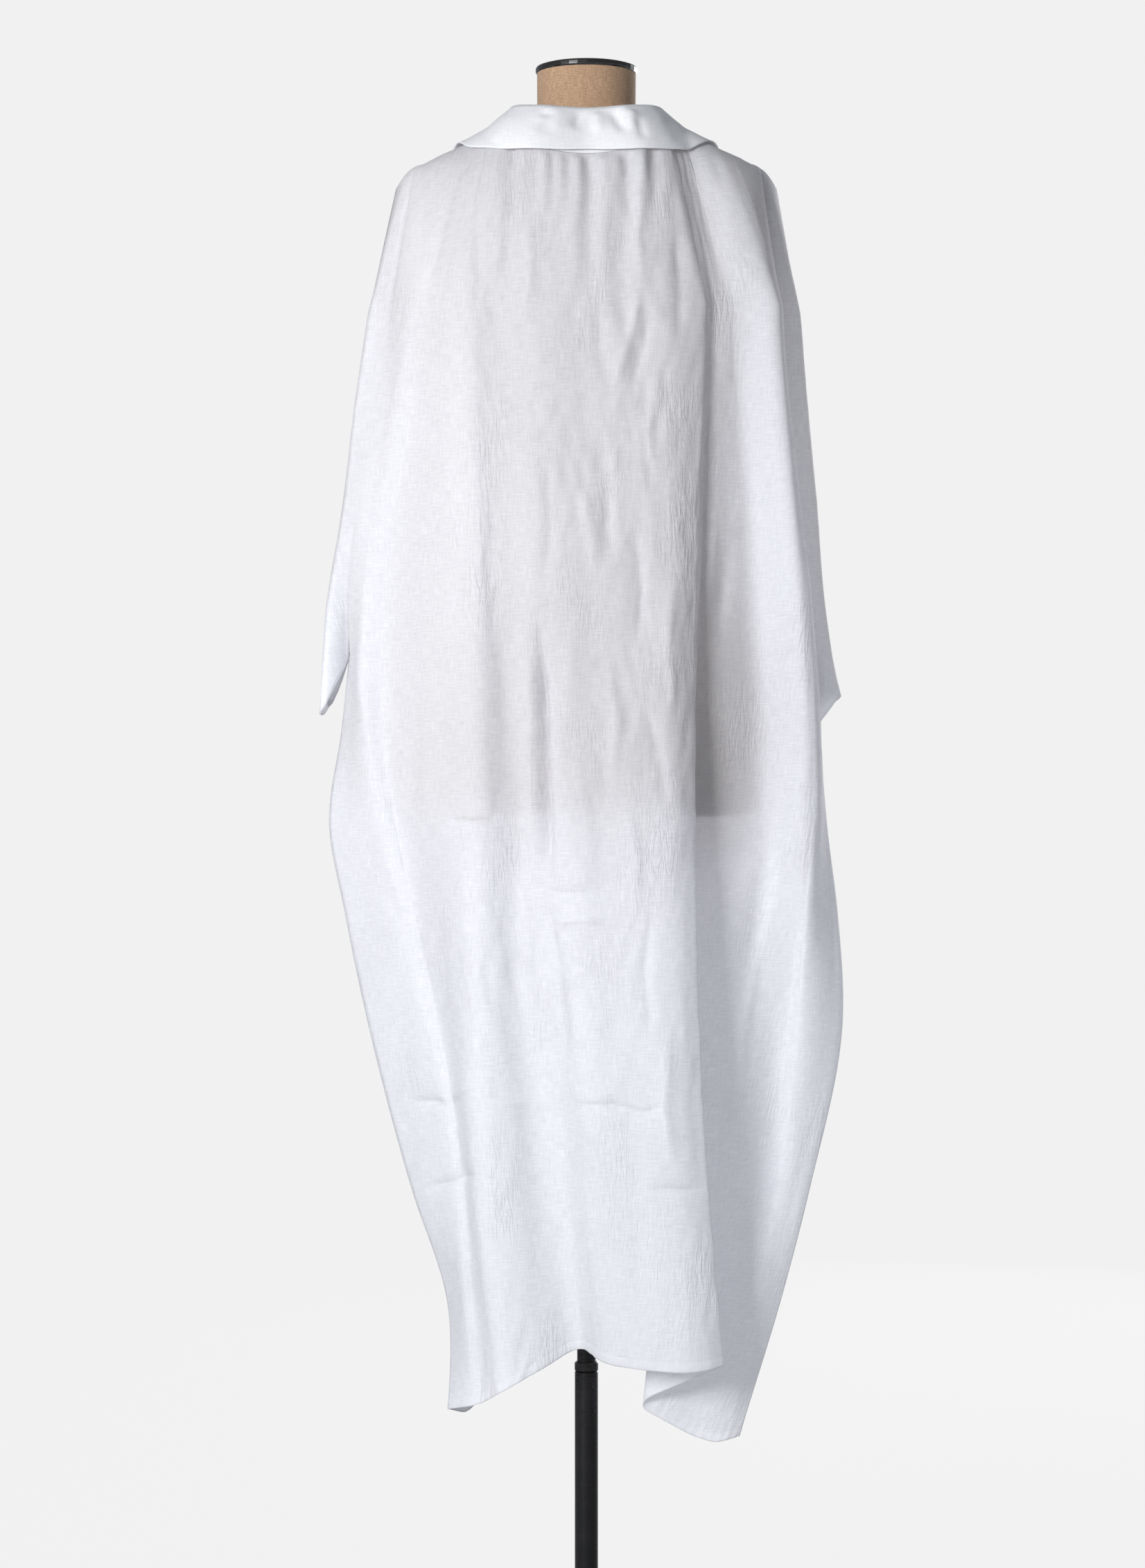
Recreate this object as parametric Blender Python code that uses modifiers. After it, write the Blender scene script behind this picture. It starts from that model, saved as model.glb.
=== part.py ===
# Long white kaftan dress standing on a limbless dress form with a telescopic pole.
# Units are metres, +Z is up. The origin is the centre of the base plate's underside, on the
# pole's axis. The wearer faces -Y, so the dress's back is at +Y and the wearer's left is at +X.
import math
from collections import namedtuple

import bmesh
import bpy
import numpy as np
from mathutils.bvhtree import BVHTree

# ---- driving sizes ----
WALL = 0.0015            # thickness of the modelled cloth
SEAM_GAP = 0.0003        # between two sewn pieces
REST_GAP = 0.0005        # between the cloth and the shoulders that carry it
FORM_CLEAR = 0.003       # least distance from the form below the shoulder seam
BLADE_HEIGHT = 1.48      # below this height the cloth hangs free
HIP_SHARE = 0.377        # where the fold tables' middle columns lie on the way from blade to hem
KNEE_SHARE = 0.754
CUFF_SHARE = 0.335       # the row that ends in the sleeve openings
TILT_REACH = 0.250       # distance from the centre where a row has its side's whole tilt
SHOULDER_HALF = 0.2045   # centre to shoulder tip, along the shoulder seam
SHOULDER_END = 1.641     # height of the form's shoulder ends
SHOULDER_TOP = 1.700     # where the two shoulder slopes would meet over the neck
TIP_START = 0.176        # the cloth bends over the shoulder's end from here
TIP_BEND = 29.0          # drop of that bend, per square metre of reach
SLEEVE_FOLD = 0.026      # from the overarm fold to the line that ends at the underarm
OVERARM_LIP = 0.018      # depth of the rounded overarm fold, to each side of its seam
SLEEVE_DEPTH = 0.046     # the sleeve's depth inside that fold, at the shoulder blade
SLEEVE_LIFT = (0.75, 0.95, 0.8, 0.45, 0.0)     # share of the gape, from the fold line to the edge
CUFF_BULGE = {"back": 0.012, "front": 0.060}   # how far the sleeve opening gapes

NECK_HALF = 0.100        # centre to the neck's end of the shoulder seam
NECK_DROP = {"back": 0.036, "front": 0.118}
NECK_CURVE = {"back": 0.7, "front": 0.9}       # the back neck is round, the front neck a V
SHOULDER_SQUARE = 3.0    # squareness of the cloth's bend over the shoulder, back to front
NECK_SQUARE = 2.2        # the same, at the centre back and front
SQUARE_REACH = 0.14      # distance from the centre where it is fully square

COLLAR_OPEN = 0.011      # half the gap between the collar's front ends
NECK_LIFT = 0.0035       # the cloth stands this much off the form at the neck's sides
NECK_LIFT_END = 0.128    # and comes down to rest on the shoulder here
PATH_STEP = 0.0150       # step along the neck seam
COLLAR_WIDTH = (0.056, 0.068)   # roll line to outer edge, centre back and shoulders
COLLAR_LIFT = (0.0034, 0.0042)   # from the dress to the collar's underside, back and front
COLLAR_BULGE = 0.004     # the fall's outward bow
BULGE_SPAN = 0.9         # share of a half wave that the bow takes
COLLAR_SLOPE = (66, 46)  # degrees below level, at the same two places
FOLD_GAP = 0.0009        # between the neckband and the collar folded over it
FOLD_CROWN = 1.4         # how much higher the fold's crown is than that
STAND_RISE = 0.050       # height of the neckband at centre back
STAND_LEAN = 0.0215      # how far the neckband leans in
LAPEL_STAND = 0.011      # width of the neckband along the front V
LAPEL_WAY = (-0.72, 0.10, 0.68)   # its way up there: in, back and up
LAPEL_TURN = (80, 125)   # degrees from centre back between which the neckband turns that way
STAND_FADE = 2.8         # how fast the neckband gets lower towards the front
LEAN_FADE = 0.8          # the same for its lean
LIFT_TURN = (60, 100)    # degrees between which the collar's lift changes

POLE_OUTER = 0.0125      # radius of the outer tube
POLE_BORE = 0.0103
POLE_INNER = 0.0100      # radius of the inner tube
POLE_TOP = 0.351
BUSH_HEIGHT = 0.010
INNER_BOTTOM = 0.095
FORM_BOTTOM = 0.940
NECK_TOP = 1.742
CAP_RADIUS = 0.0548
CAP_TOP = 1.750
FLANGE_RADIUS = 0.030
FLANGE_DEPTH = 0.030
BASE_RADIUS = 0.180
BASE_THICK = 0.008
SOCKET_RADIUS = 0.024
SOCKET_TOP = 0.048
SCREW_HEIGHT = 0.318
SCREW_RADIUS = 0.0030
SCREW_HOLE = 0.0034
KNOB_RADIUS = 0.0085
KNOB_START = 0.0160
KNOB_DEPTH = 0.008

FORM_SEGMENTS = 44
# The form's level sections: square is 2 for an ellipse and more for squarer corners.
Section = namedtuple("Section", "height half back front square")
FORM_SECTIONS = [Section(*row) for row in (
    (FORM_BOTTOM, 0.170, 0.100, 0.100, 2.3),
    (0.985, 0.173, 0.104, 0.104, 2.3),
    (1.040, 0.171, 0.104, 0.104, 2.3),
    (1.100, 0.160, 0.099, 0.101, 2.3),
    (1.160, 0.142, 0.093, 0.096, 2.3),
    (1.220, 0.130, 0.089, 0.093, 2.3),
    (1.290, 0.135, 0.094, 0.100, 2.3),
    (1.350, 0.147, 0.101, 0.112, 2.3),
    (1.410, 0.158, 0.106, 0.119, 2.3),
    (1.480, 0.171, 0.107, 0.114, 2.3),
    (1.540, 0.181, 0.095, 0.098, 2.3),
    (1.580, 0.187, 0.080, 0.081, 2.2),
    (1.610, 0.189, 0.066, 0.064, 2.0),
    (1.630, 0.184, 0.057, 0.055, 1.7),
    (SHOULDER_END, 0.176, 0.053, 0.051, 1.4),
    (1.650, 0.157, 0.052, 0.050, 1.4),
    (1.661, 0.131, 0.051, 0.050, 1.5),
    (1.672, 0.100, 0.0515, 0.051, 1.7),
    (1.684, 0.074, 0.0525, 0.052, 1.9),
    (1.695, 0.059, 0.0535, 0.0535, 2.0),
    (1.706, 0.0535, 0.0535, 0.0535, 2.0),
    (NECK_TOP, 0.0535, 0.0535, 0.0535, 2.0),
)]

# Outer edge of the cloth on the wearer's left and right, from the shoulder down the overarm
# fold to the sleeve's tip.
Edge = namedtuple("Edge", "height left right")
OVERARM = [Edge(*row) for row in (
    (1.48, 0.2345, 0.2285),
    (1.38, 0.2495, 0.2372),
    (1.28, 0.2617, 0.2465),
    (1.16, 0.2795, 0.2563),
    (1.05, 0.2857, 0.2750),
)]
SLEEVE_TIP = {"left": 1.0495, "right": 1.069}
UNDERARM = {"left": 1.115, "right": 1.040}
# The side seams below the underarm.
SIDE_SEAM = [Edge(*row) for row in (
    (1.115, 0.2550, 0.2516),
    (1.040, 0.2625, 0.2516),
    (0.930, 0.2770, 0.2590),
    (0.840, 0.2610, 0.2700),
    (0.720, 0.2360, 0.2760),
    (0.540, 0.1886, 0.2410),
    (0.420, 0.1500, 0.2100),
    (0.270, 0.1490, 0.1640),
)]
SEAM_HEM = {"left": 0.2997, "right": 0.2710}

# The hanging folds, from the wearer's left to right. Each is a line from the shoulder blade
# through hip and knee to the hem: where it lies across (+X) and out from the centre plane, the
# height of its hem, all in millimetres, and how softly the cloth turns there (1 is the softest).
Fold = namedtuple("Fold", "across_blade across_hip across_knee across_hem "
                          "out_blade out_hip out_knee out_hem hem_height softness")
BACK_FOLDS = {
    #                    across: blade, hip, knee, hem    out: blade, hip, knee, hem   hem height, soft
    "left_facet":   Fold(186, 240, 148, 122,     76, 46, 55, 35,     309, 0.5),
    "left_recess":  Fold(163, 214, 134, 108,     90, 43, 60, 45,     315, 0.6),
    "left_ridge":   Fold(131, 126, 112, 84,      113, 129, 112, 85,  335, 1.0),
    "left_step":    Fold(101, 80, 37, 6,         111, 113, 87, 50,   377, 0.6),
    "centre_left":  Fold(53, 34, -3, -19,        126, 138, 131, 98,  363, 0.8),
    "centre_right": Fold(-39, -48, -63, -87,     124, 138, 136, 118, 357, 1.0),
    "right_crest":  Fold(-88, -90, -98, -120,    124, 139, 133, 116, 358, 1.0),
    "right_edge":   Fold(-123, -113, -124, -147, 107, 118, 113, 93,  362, 0.35),
    "under_fold":   Fold(-134, -109, -86, -50,   93, 94, 50, 32,     311, 0.5),
    "right_panel":  Fold(-157, -188, -156, -112, 87, 52, 31, 13,     274, 0.5),
    "right_ridge":  Fold(-203, -226, -194, -138, 105, 87, 29, 9,     265, 0.9),
    "right_tuck":   Fold(-209, -248, -216, -152, 78, 76, 25, 6,      268, 0.7),
}
FRONT_FOLDS = {
    "left_side":    Fold(182, 222, 150, 126,     74, 62, 70, 50,     286, 0.8),
    "left_pleat":   Fold(130, 152, 118, 88,      112, 134, 122, 98,  345, 1.0),
    "left_hollow":  Fold(78, 92, 66, 46,         124, 122, 108, 88,  381, 0.9),
    "middle":       Fold(18, 12, 6, -4,          134, 160, 150, 134, 392, 1.0),
    "right_hollow": Fold(-62, -78, -64, -52,     125, 124, 112, 92,  384, 0.9),
    "right_pleat":  Fold(-128, -146, -122, -96,  112, 138, 128, 102, 352, 1.0),
    "right_side":   Fold(-180, -226, -196, -148, 72, 60, 66, 40,     292, 0.8),
}

CAP_ROWS = 7             # rows of cloth over the shoulder
CAP_SPREAD = 1.3         # crowds them towards the shoulder seam
NECK_CROWD = 1.35        # crowds the neck edge's points towards that seam
SLEEVE_ROWS = 5          # rows from the shoulder blade to the underarm
SKIRT_ROWS = 10          # rows from there to the hem
CORNER_STEPS = (0.2, 0.5, 0.8)   # where a fold's turn is sampled

TURN_LIMIT = 2.0         # most by which a turn lengthens the way through the cloth
TURN_HOLD = 0.05         # steadies that way where the cloth is flat
EDGE_ANGLE = 55          # degrees; sharper edges aren't shaded smooth
PANELS = {}              # each panel's points, kept for what lies on it


# ---- shapes shared by several pieces ----
def through(stations, values, at):
    """Smooth curve through the values at rising or falling stations."""
    order = np.argsort(stations)
    x = np.asarray(stations, float)[order]
    y = np.asarray(values, float)[order]
    slope = np.gradient(y, x)
    at = min(max(at, x[0]), x[-1])
    k = int(min(np.searchsorted(x, at, side="right") - 1, len(x) - 2))
    width = x[k + 1] - x[k]
    t = (at - x[k]) / width
    rise = y[k] * (2 * t**3 - 3 * t**2 + 1) + y[k + 1] * (3 * t**2 - 2 * t**3)
    bend = slope[k] * (t**3 - 2 * t**2 + t) + slope[k + 1] * (t**3 - t**2)
    return rise + width * bend


def shoulder_line(x):
    """Height of the cloth's inner face along the shoulder seam."""
    reach = abs(x)
    slope = [section for section in FORM_SECTIONS if section.height >= SHOULDER_END][::-1]
    halves = [section.half for section in slope]
    heights = [section.height for section in slope]
    top = min(float(np.interp(reach, halves, heights)), SHOULDER_TOP)
    near = min(max((NECK_LIFT_END - reach) / (NECK_LIFT_END - NECK_HALF), 0.0), 1.0)
    lift = REST_GAP + NECK_LIFT * near * near * (3 - 2 * near)
    return top + lift - TIP_BEND * max(0.0, reach - TIP_START) ** 2


def neck_height(side, x):
    share = min(abs(x) / NECK_HALF, 1.0)
    curve = NECK_CURVE[side]
    dip = (1 - share**2) ** curve if side == "back" else (1 - share) ** curve
    return shoulder_line(NECK_HALF) - NECK_DROP[side] * dip


def squareness(x):
    return NECK_SQUARE + (SHOULDER_SQUARE - NECK_SQUARE) * min(abs(x) / SQUARE_REACH, 1.0)


def form_out(side, x, z):
    """How far out the cloth must lie at x and z to clear the dress form."""
    heights = [section.height for section in FORM_SECTIONS]
    half = float(np.interp(z, heights, [section.half for section in FORM_SECTIONS]))
    depth = float(np.interp(z, heights, [getattr(section, side) for section in FORM_SECTIONS]))
    square = float(np.interp(z, heights, [section.square for section in FORM_SECTIONS]))
    share = abs(x) / half
    if share >= 1 or z > shoulder_line(x) - REST_GAP * 2:
        return SEAM_GAP / 2
    return depth * (1 - share**square) ** (1 / square) + FORM_CLEAR


# ---- the dress's panels ----
def fold_point(fold, share):
    """A fold line's point at a share of the way from shoulder blade to hem."""
    stations = (0.0, HIP_SHARE, KNEE_SHARE, 1.0)
    across = (fold.across_blade, fold.across_hip, fold.across_knee, fold.across_hem)
    out = (fold.out_blade, fold.out_hip, fold.out_knee, fold.out_hem)
    height = BLADE_HEIGHT + (fold.hem_height / 1000 - BLADE_HEIGHT) * share
    return np.array([through(stations, across, share) / 1000,
                     through(stations, out, share) / 1000, height])


def edge_at(table, side, z):
    return through([row.height for row in table], [getattr(row, side) for row in table], z)


def tilt(side, share):
    """Lifts or lowers a row towards one side, so that it ends at that side's underarm."""
    level = BLADE_HEIGHT + (SEAM_HEM[side] - BLADE_HEIGHT) * CUFF_SHARE
    if share < CUFF_SHARE:
        t = share / CUFF_SHARE
    else:
        t = (1 - share) / (1 - CUFF_SHARE)
    return (UNDERARM[side] - level) * t * t * (3 - 2 * t)


def turn(before, corner, after, softness):
    """Points of a fold's rounded corner, between straight runs of cloth."""
    reach = 0.5 * softness
    start = corner + (before - corner) * reach
    end = corner + (after - corner) * reach
    return [start * (1 - t) ** 2 + corner * 2 * t * (1 - t) + end * t * t for t in CORNER_STEPS]


def panel_row(side, folds, share):
    """One row of a panel: the sleeve's strip, the body's folds, and the other strip."""
    above = share <= CUFF_SHARE + 1e-6
    corners = [fold_point(fold, share) for fold in folds.values()]
    ends = {}
    for name, sign in (("left", 1), ("right", -1)):
        z = BLADE_HEIGHT + (SEAM_HEM[name] - BLADE_HEIGHT) * share + tilt(name, share)
        if above:
            t = share / CUFF_SHARE
            tip = z + (SLEEVE_TIP[name] - UNDERARM[name]) * t * t
            edge = edge_at(OVERARM, name, tip)
            inner = edge - SLEEVE_FOLD
            under = edge_at(SIDE_SEAM, name, UNDERARM[name])
            inner += (under - inner) * t**3
            depth = SLEEVE_DEPTH * (1 - t**4) + SEAM_GAP / 2
            ends[name] = [np.array([sign * inner, depth, z]), np.array([sign * edge, 0.0, tip]), t]
        else:
            inner = edge_at(SIDE_SEAM, name, z)
            ends[name] = [np.array([sign * inner, SEAM_GAP / 2, z]), None, 1.0]
    for corner in corners:
        near = min(abs(corner[0]) / TILT_REACH, 1.0)
        corner[2] += near * tilt("left" if corner[0] > 0 else "right", share)
    line = [ends["left"][0], *corners, ends["right"][0]]
    points = [line[0]]
    for k, fold in enumerate(folds.values(), 1):
        points.append((line[k - 1] + line[k]) / 2)
        points += turn(line[k - 1], line[k], line[k + 1], fold.softness)
    points += [(line[-2] + line[-1]) / 2, line[-1]]
    if above:
        points = strip(side, *ends["left"])[::-1] + points + strip(side, *ends["right"])
    return points


def strip(side, inner, edge, t):
    """The outer strip of the sleeve, from the underarm line to the overarm fold."""
    lip = edge + np.array([0.0, OVERARM_LIP, 0.0])
    middle = (inner + lip) / 2
    gape = CUFF_BULGE[side] * t**3
    corner = turn(middle, lip, edge, 0.9)
    points = [middle + (inner - lip) * 0.1, *corner, edge]
    return [p + np.array([0.0, gape * k, 0.0]) for p, k in zip(points, SLEEVE_LIFT)]


def crowd(x):
    """Moves a point of the neck edge towards the end of the shoulder seam, where the edge is steep."""
    reach = 1 - (1 - abs(x) / NECK_HALF) ** NECK_CROWD
    return math.copysign(NECK_HALF * reach, x)


def panel_points(side, folds):
    """Rows of points from the neck and shoulder seam to the hem, on the cloth's inner face."""
    blade = panel_row(side, folds, 0.0)
    steps = [math.dist(a, b) for a, b in zip(blade, blade[1:])]
    along = np.concatenate([[0.0], np.cumsum(steps)])
    centre = float(np.interp(0.0, [-p[0] for p in blade], along))
    shares = [*np.linspace(0, CUFF_SHARE, SLEEVE_ROWS + 1),
              *np.linspace(CUFF_SHARE, 1, SKIRT_ROWS + 1)[1:]]
    rows = [[None] * len(blade) for _ in range(CAP_ROWS)]
    halves = [centre if place < centre else along[-1] - centre for place in along]
    tops = [SHOULDER_HALF * (centre - place) / half for place, half in zip(along, halves)]
    for end in (NECK_HALF, -NECK_HALF):
        nearest = min(range(len(tops)), key=lambda i: abs(tops[i] - end))
        tops[nearest] = end
    tops = [x if abs(x) >= NECK_HALF else crowd(x) for x in tops]
    for i, (low, x_top) in enumerate(zip(blade, tops)):
        z_top = shoulder_line(x_top)
        z_start = neck_height(side, x_top) if abs(x_top) < NECK_HALF else z_top
        power = squareness(x_top)
        start = math.acos(min(1.0, (z_start - BLADE_HEIGHT) / (z_top - BLADE_HEIGHT)) ** (power / 2))
        for j in range(CAP_ROWS):
            angle = start + (math.pi / 2 - start) * (j / CAP_ROWS) ** CAP_SPREAD
            z = BLADE_HEIGHT + (z_top - BLADE_HEIGHT) * math.cos(angle) ** (2 / power)
            share = (z_start - z) / (z_start - BLADE_HEIGHT)
            out = low[1] * math.sin(angle) ** (2 / power)
            x = x_top + (low[0] - x_top) * share
            rows[j][i] = np.array([x, max(out, form_out(side, x, z)), z])
    rows += [panel_row(side, folds, share) for share in shares]
    facing = 1 if side == "back" else -1
    return [[np.array([p[0], facing * max(p[1], SEAM_GAP / 2), p[2]]) for p in row] for row in rows]


def wall(name, rows, thickness, material, outward, flat_edges):
    """A closed wall over a grid of points; short rows leave out the strips at both ends."""
    longest = max(len(row) for row in rows)
    skip = [(longest - len(row)) // 2 for row in rows]
    count = len(rows)
    cells = []
    for j in range(count - 1):
        for i in range(longest - 1):
            margin = max(skip[j], skip[j + 1])
            if margin <= i < longest - 1 - margin:
                cells.append(((j, i), (j, i + 1), (j + 1, i + 1), (j + 1, i)))
    inner = {}
    for cell in cells:
        for j, i in cell:
            inner[j, i] = rows[j][i - skip[j]]
    facing = {key: [] for key in inner}
    for cell in cells:
        a, b, c, d = (inner[key] for key in cell)
        face = np.cross(c - a, d - b)
        for key in cell:
            facing[key].append(face)
    total = sum(np.dot(sum(faces), outward(inner[key])) for key, faces in facing.items())
    if total < 0:
        facing = {key: [-face for face in faces] for key, faces in facing.items()}
        cells = [cell[::-1] for cell in cells]
    ways = {key: way_out(faces, flat_edges(inner[key])) for key, faces in facing.items()}
    mesh = bpy.data.meshes.new(name)
    solid = bmesh.new()
    low = {key: solid.verts.new(inner[key]) for key in inner}
    high = {key: solid.verts.new(inner[key] + ways[key] * thickness) for key in inner}
    sides = set()
    for cell in cells:
        for corners in split(cell, inner):
            solid.faces.new([low[key] for key in corners[::-1]])
            solid.faces.new([high[key] for key in corners])
        sides.update(zip(cell, cell[1:] + cell[:1]))
    for a, b in sides:
        if (b, a) not in sides:
            solid.faces.new([high[b], high[a], low[a], low[b]])
    solid.to_mesh(mesh)
    solid.free()
    mesh.shade_smooth()
    mesh.set_sharp_from_angle(angle=math.radians(EDGE_ANGLE))
    part = bpy.data.objects.new(name, mesh)
    mesh.materials.append(material)
    dress.objects.link(part)
    return part


def way_out(faces, flat):
    """The way from the inner to the outer face, longer at a turn so that the wall stays even there."""
    mean = sum(faces)
    if flat:
        mean = mean * (1, 0, 1)
    mean = mean / np.linalg.norm(mean)
    if flat:
        return mean
    units = np.array([face / np.linalg.norm(face) for face in faces])
    pull = units.T @ units + TURN_HOLD * np.eye(3)
    way = np.linalg.solve(pull, units.sum(axis=0) + TURN_HOLD * mean)
    return way * min(1.0, TURN_LIMIT / np.linalg.norm(way))


def split(cell, points):
    """A cell's two triangles across its shorter diagonal, the same on both faces of the cloth."""
    a, b, c, d = cell
    if math.dist(points[a], points[c]) <= math.dist(points[b], points[d]):
        return (a, b, c), (a, c, d)
    return (a, b, d), (b, c, d)


def panel(name, side, folds, material):
    facing = np.array([0.0, 1.0 if side == "back" else -1.0, 0.0])
    centre = np.array([0.0, 0.0, BLADE_HEIGHT])

    def outward(point):
        return facing if point[2] < BLADE_HEIGHT else point - centre

    def on_seam(point):
        underarm = UNDERARM["left" if point[0] > 0 else "right"]
        return abs(point[1]) < SEAM_GAP and abs(point[2] - underarm) > SEAM_GAP

    PANELS[side] = panel_points(side, folds)
    return wall(name, PANELS[side], WALL, material, outward, on_seam)


# ---- collar and neckband ----
def crossing(row, x):
    """The place where a row of points, from left to right, crosses x."""
    rising = np.array(row[::-1])
    return np.array([np.interp(x, rising[:, 0], rising[:, k]) for k in range(3)])


def neck_seam():
    """The neck seam's points and angles from centre back, from the left front end to the right."""
    back = [point for point in PANELS["back"][0] if abs(point[0]) < NECK_HALF + WALL]
    front = [point for point in PANELS["front"][0] if abs(point[0]) < NECK_HALF - WALL]
    left = [point for point in front if point[0] > COLLAR_OPEN]
    right = [point for point in front if point[0] < -COLLAR_OPEN]
    ends = [crossing(front, x) for x in (COLLAR_OPEN, -COLLAR_OPEN)]
    path = []
    for point in (ends[0], *left[::-1], *back, *right[::-1], ends[1]):
        angle = math.asin(min(abs(point[0]) / NECK_HALF, 1.0))
        if point[1] < 0:
            angle = math.pi - angle
        path.append((point, math.copysign(angle, point[0])))
    steps = [math.dist(a[0], b[0]) for a, b in zip(path, path[1:])]
    along = np.concatenate([[0.0], np.cumsum(steps)])
    places = np.linspace(0, along[-1], round(along[-1] / PATH_STEP))
    axes = [np.interp(places, along, [point[k] for point, _ in path]) for k in range(3)]
    angles = np.interp(places, along, [angle for _, angle in path])
    return list(zip(np.array(axes).T, angles))


def collar_frame(angle):
    """The neckband's rise, the fall from the roll line to its edge, and the fall's way out."""
    hand = math.copysign(1.0, angle)
    fade = max(math.cos(angle / 2), 0.0)
    lean = STAND_LEAN * fade**LEAN_FADE
    rise = STAND_RISE * fade**STAND_FADE
    stand = np.array([-math.sin(angle) * lean, -math.cos(angle) * lean, rise])
    inward, back, upward = LAPEL_WAY
    lapel = np.array([inward * hand, back, upward]) * LAPEL_STAND
    forward = float(np.interp(math.degrees(abs(angle)), LAPEL_TURN, (0, 1)))
    forward = forward * forward * (3 - 2 * forward)
    up = stand * (1 - forward) + lapel * forward
    away = np.array([math.sin(angle), max(math.cos(angle), 0.0), 0.0])
    if abs(angle) > math.pi / 2:
        away = np.array([hand, 0.0, 0.0])
    aside = min(abs(angle) / (math.pi / 2), 1.0)
    slope = math.radians(float(np.interp(aside, (0, 1), COLLAR_SLOPE)))
    width = float(np.interp(aside, (0, 1), COLLAR_WIDTH))
    down = away * math.cos(slope) + np.array([0.0, 0.0, -math.sin(slope)])
    out = away * math.sin(slope) + np.array([0.0, 0.0, math.cos(slope)])
    out = out * (1 - forward) + np.array([0.0, -1.0, 0.0]) * forward
    return up, down * width, out / np.linalg.norm(out)


def neckband(material):
    rows = [[] for _ in range(3)]
    for seam, angle in neck_seam():
        up, _, _ = collar_frame(angle)
        foot = up / np.linalg.norm(up) * SEAM_GAP * 2
        for row, share in zip(rows, (0.0, 0.5, 1.0)):
            row.append(seam + foot + (up - foot) * share)
    centre = np.array([0.0, 0.0, 1.5])
    return wall("neckband", rows, WALL, material, lambda p: centre - p, lambda p: False)


def collar(material):
    skin = upper_skin()
    rows = [[] for _ in range(5)]
    for seam, angle in neck_seam():
        up, down, out = collar_frame(angle)
        roll = seam + up
        over = up / np.linalg.norm(up) * FOLD_GAP
        profile = [roll + over, roll + over * FOLD_CROWN + out * FOLD_GAP]
        for share in (1 / 3, 2 / 3, 1.0):
            bow = FOLD_GAP + COLLAR_BULGE * math.sin(math.pi * share * BULGE_SPAN)
            profile.append(roll + down * share + out * bow)
        gap = WALL + float(np.interp(math.degrees(abs(angle)), LIFT_TURN, COLLAR_LIFT))
        profile[2:] = [clear_of(skin, point, gap) for point in profile[2:]]
        for row, point in zip(rows, profile):
            row.append(point)
    centre = np.array([0.0, 0.0, 1.3])
    return wall("collar", rows, WALL, material, lambda p: p - centre, lambda p: False)


def upper_skin():
    """The panels' inner faces above the shoulder blades, as one surface to measure from."""
    points, faces = [], []
    for rows in PANELS.values():
        for j, row in enumerate(rows[:CAP_ROWS + 2]):
            for i in range(len(row)):
                if j <= CAP_ROWS and i < len(row) - 1:
                    k = len(points)
                    faces.append((k, k + 1, k + len(row) + 1, k + len(row)))
                points.append(row[i])
    return BVHTree.FromPolygons([list(p) for p in points], faces)


def clear_of(skin, point, gap):
    """Moves a point of the collar out to a gap from the dress that it lies on."""
    place, normal, _, _ = skin.find_nearest(list(point))
    place, normal = np.array(place), np.array(normal)
    if np.dot(normal, place - np.array([0.0, 0.0, BLADE_HEIGHT])) < 0:
        normal = -normal
    height = np.dot(point - place, normal)
    return point + normal * max(0.0, gap - height)


# ---- dress form and stand ----
def torso(material):
    solid = bmesh.new()
    rings = []
    for section in FORM_SECTIONS:
        ring = []
        for k in range(FORM_SEGMENTS):
            angle = 2 * math.pi * k / FORM_SEGMENTS
            c, s = math.cos(angle), math.sin(angle)
            depth = section.back if s > 0 else section.front
            x = section.half * math.copysign(abs(c) ** (2 / section.square), c)
            y = depth * math.copysign(abs(s) ** (2 / section.square), s)
            ring.append(solid.verts.new((x, y, section.height)))
        rings.append(ring)
    for low, high in zip(rings, rings[1:]):
        for k in range(FORM_SEGMENTS):
            n = (k + 1) % FORM_SEGMENTS
            solid.faces.new((low[k], low[n], high[n], high[k]))
    solid.faces.new(rings[0][::-1])
    solid.faces.new(rings[-1])
    mesh = bpy.data.meshes.new("form_torso")
    solid.to_mesh(mesh)
    solid.free()
    mesh.shade_smooth()
    mesh.set_sharp_from_angle(angle=math.radians(EDGE_ANGLE))
    mesh.materials.append(material)
    part = bpy.data.objects.new("form_torso", mesh)
    dress.objects.link(part)
    return part


def turned(name, profile, material, closed=False, steps=36):
    """A turned piece from a profile of (radius, height), outer side from top to bottom."""
    mesh = bpy.data.meshes.new(name)
    points = [(radius, 0.0, height) for radius, height in profile]
    edges = [(k, k + 1) for k in range(len(points) - 1)]
    if closed:
        edges.append((len(points) - 1, 0))
    mesh.from_pydata(points, edges, [])
    mesh.materials.append(material)
    part = bpy.data.objects.new(name, mesh)
    dress.objects.link(part)
    screw = part.modifiers.new("turn", "SCREW")
    screw.steps = steps
    screw.render_steps = steps
    screw.use_merge_vertices = True
    screw.merge_threshold = 0.00005
    screw.use_smooth_shade = False
    return part


def tube(name, outer, bore, bottom, top, material, edge=0.0006):
    profile = [(bore, top), (outer - edge, top), (outer, top - edge), (outer, bottom + edge),
               (outer - edge, bottom), (bore, bottom)]
    return turned(name, profile, material, closed=True)


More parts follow.
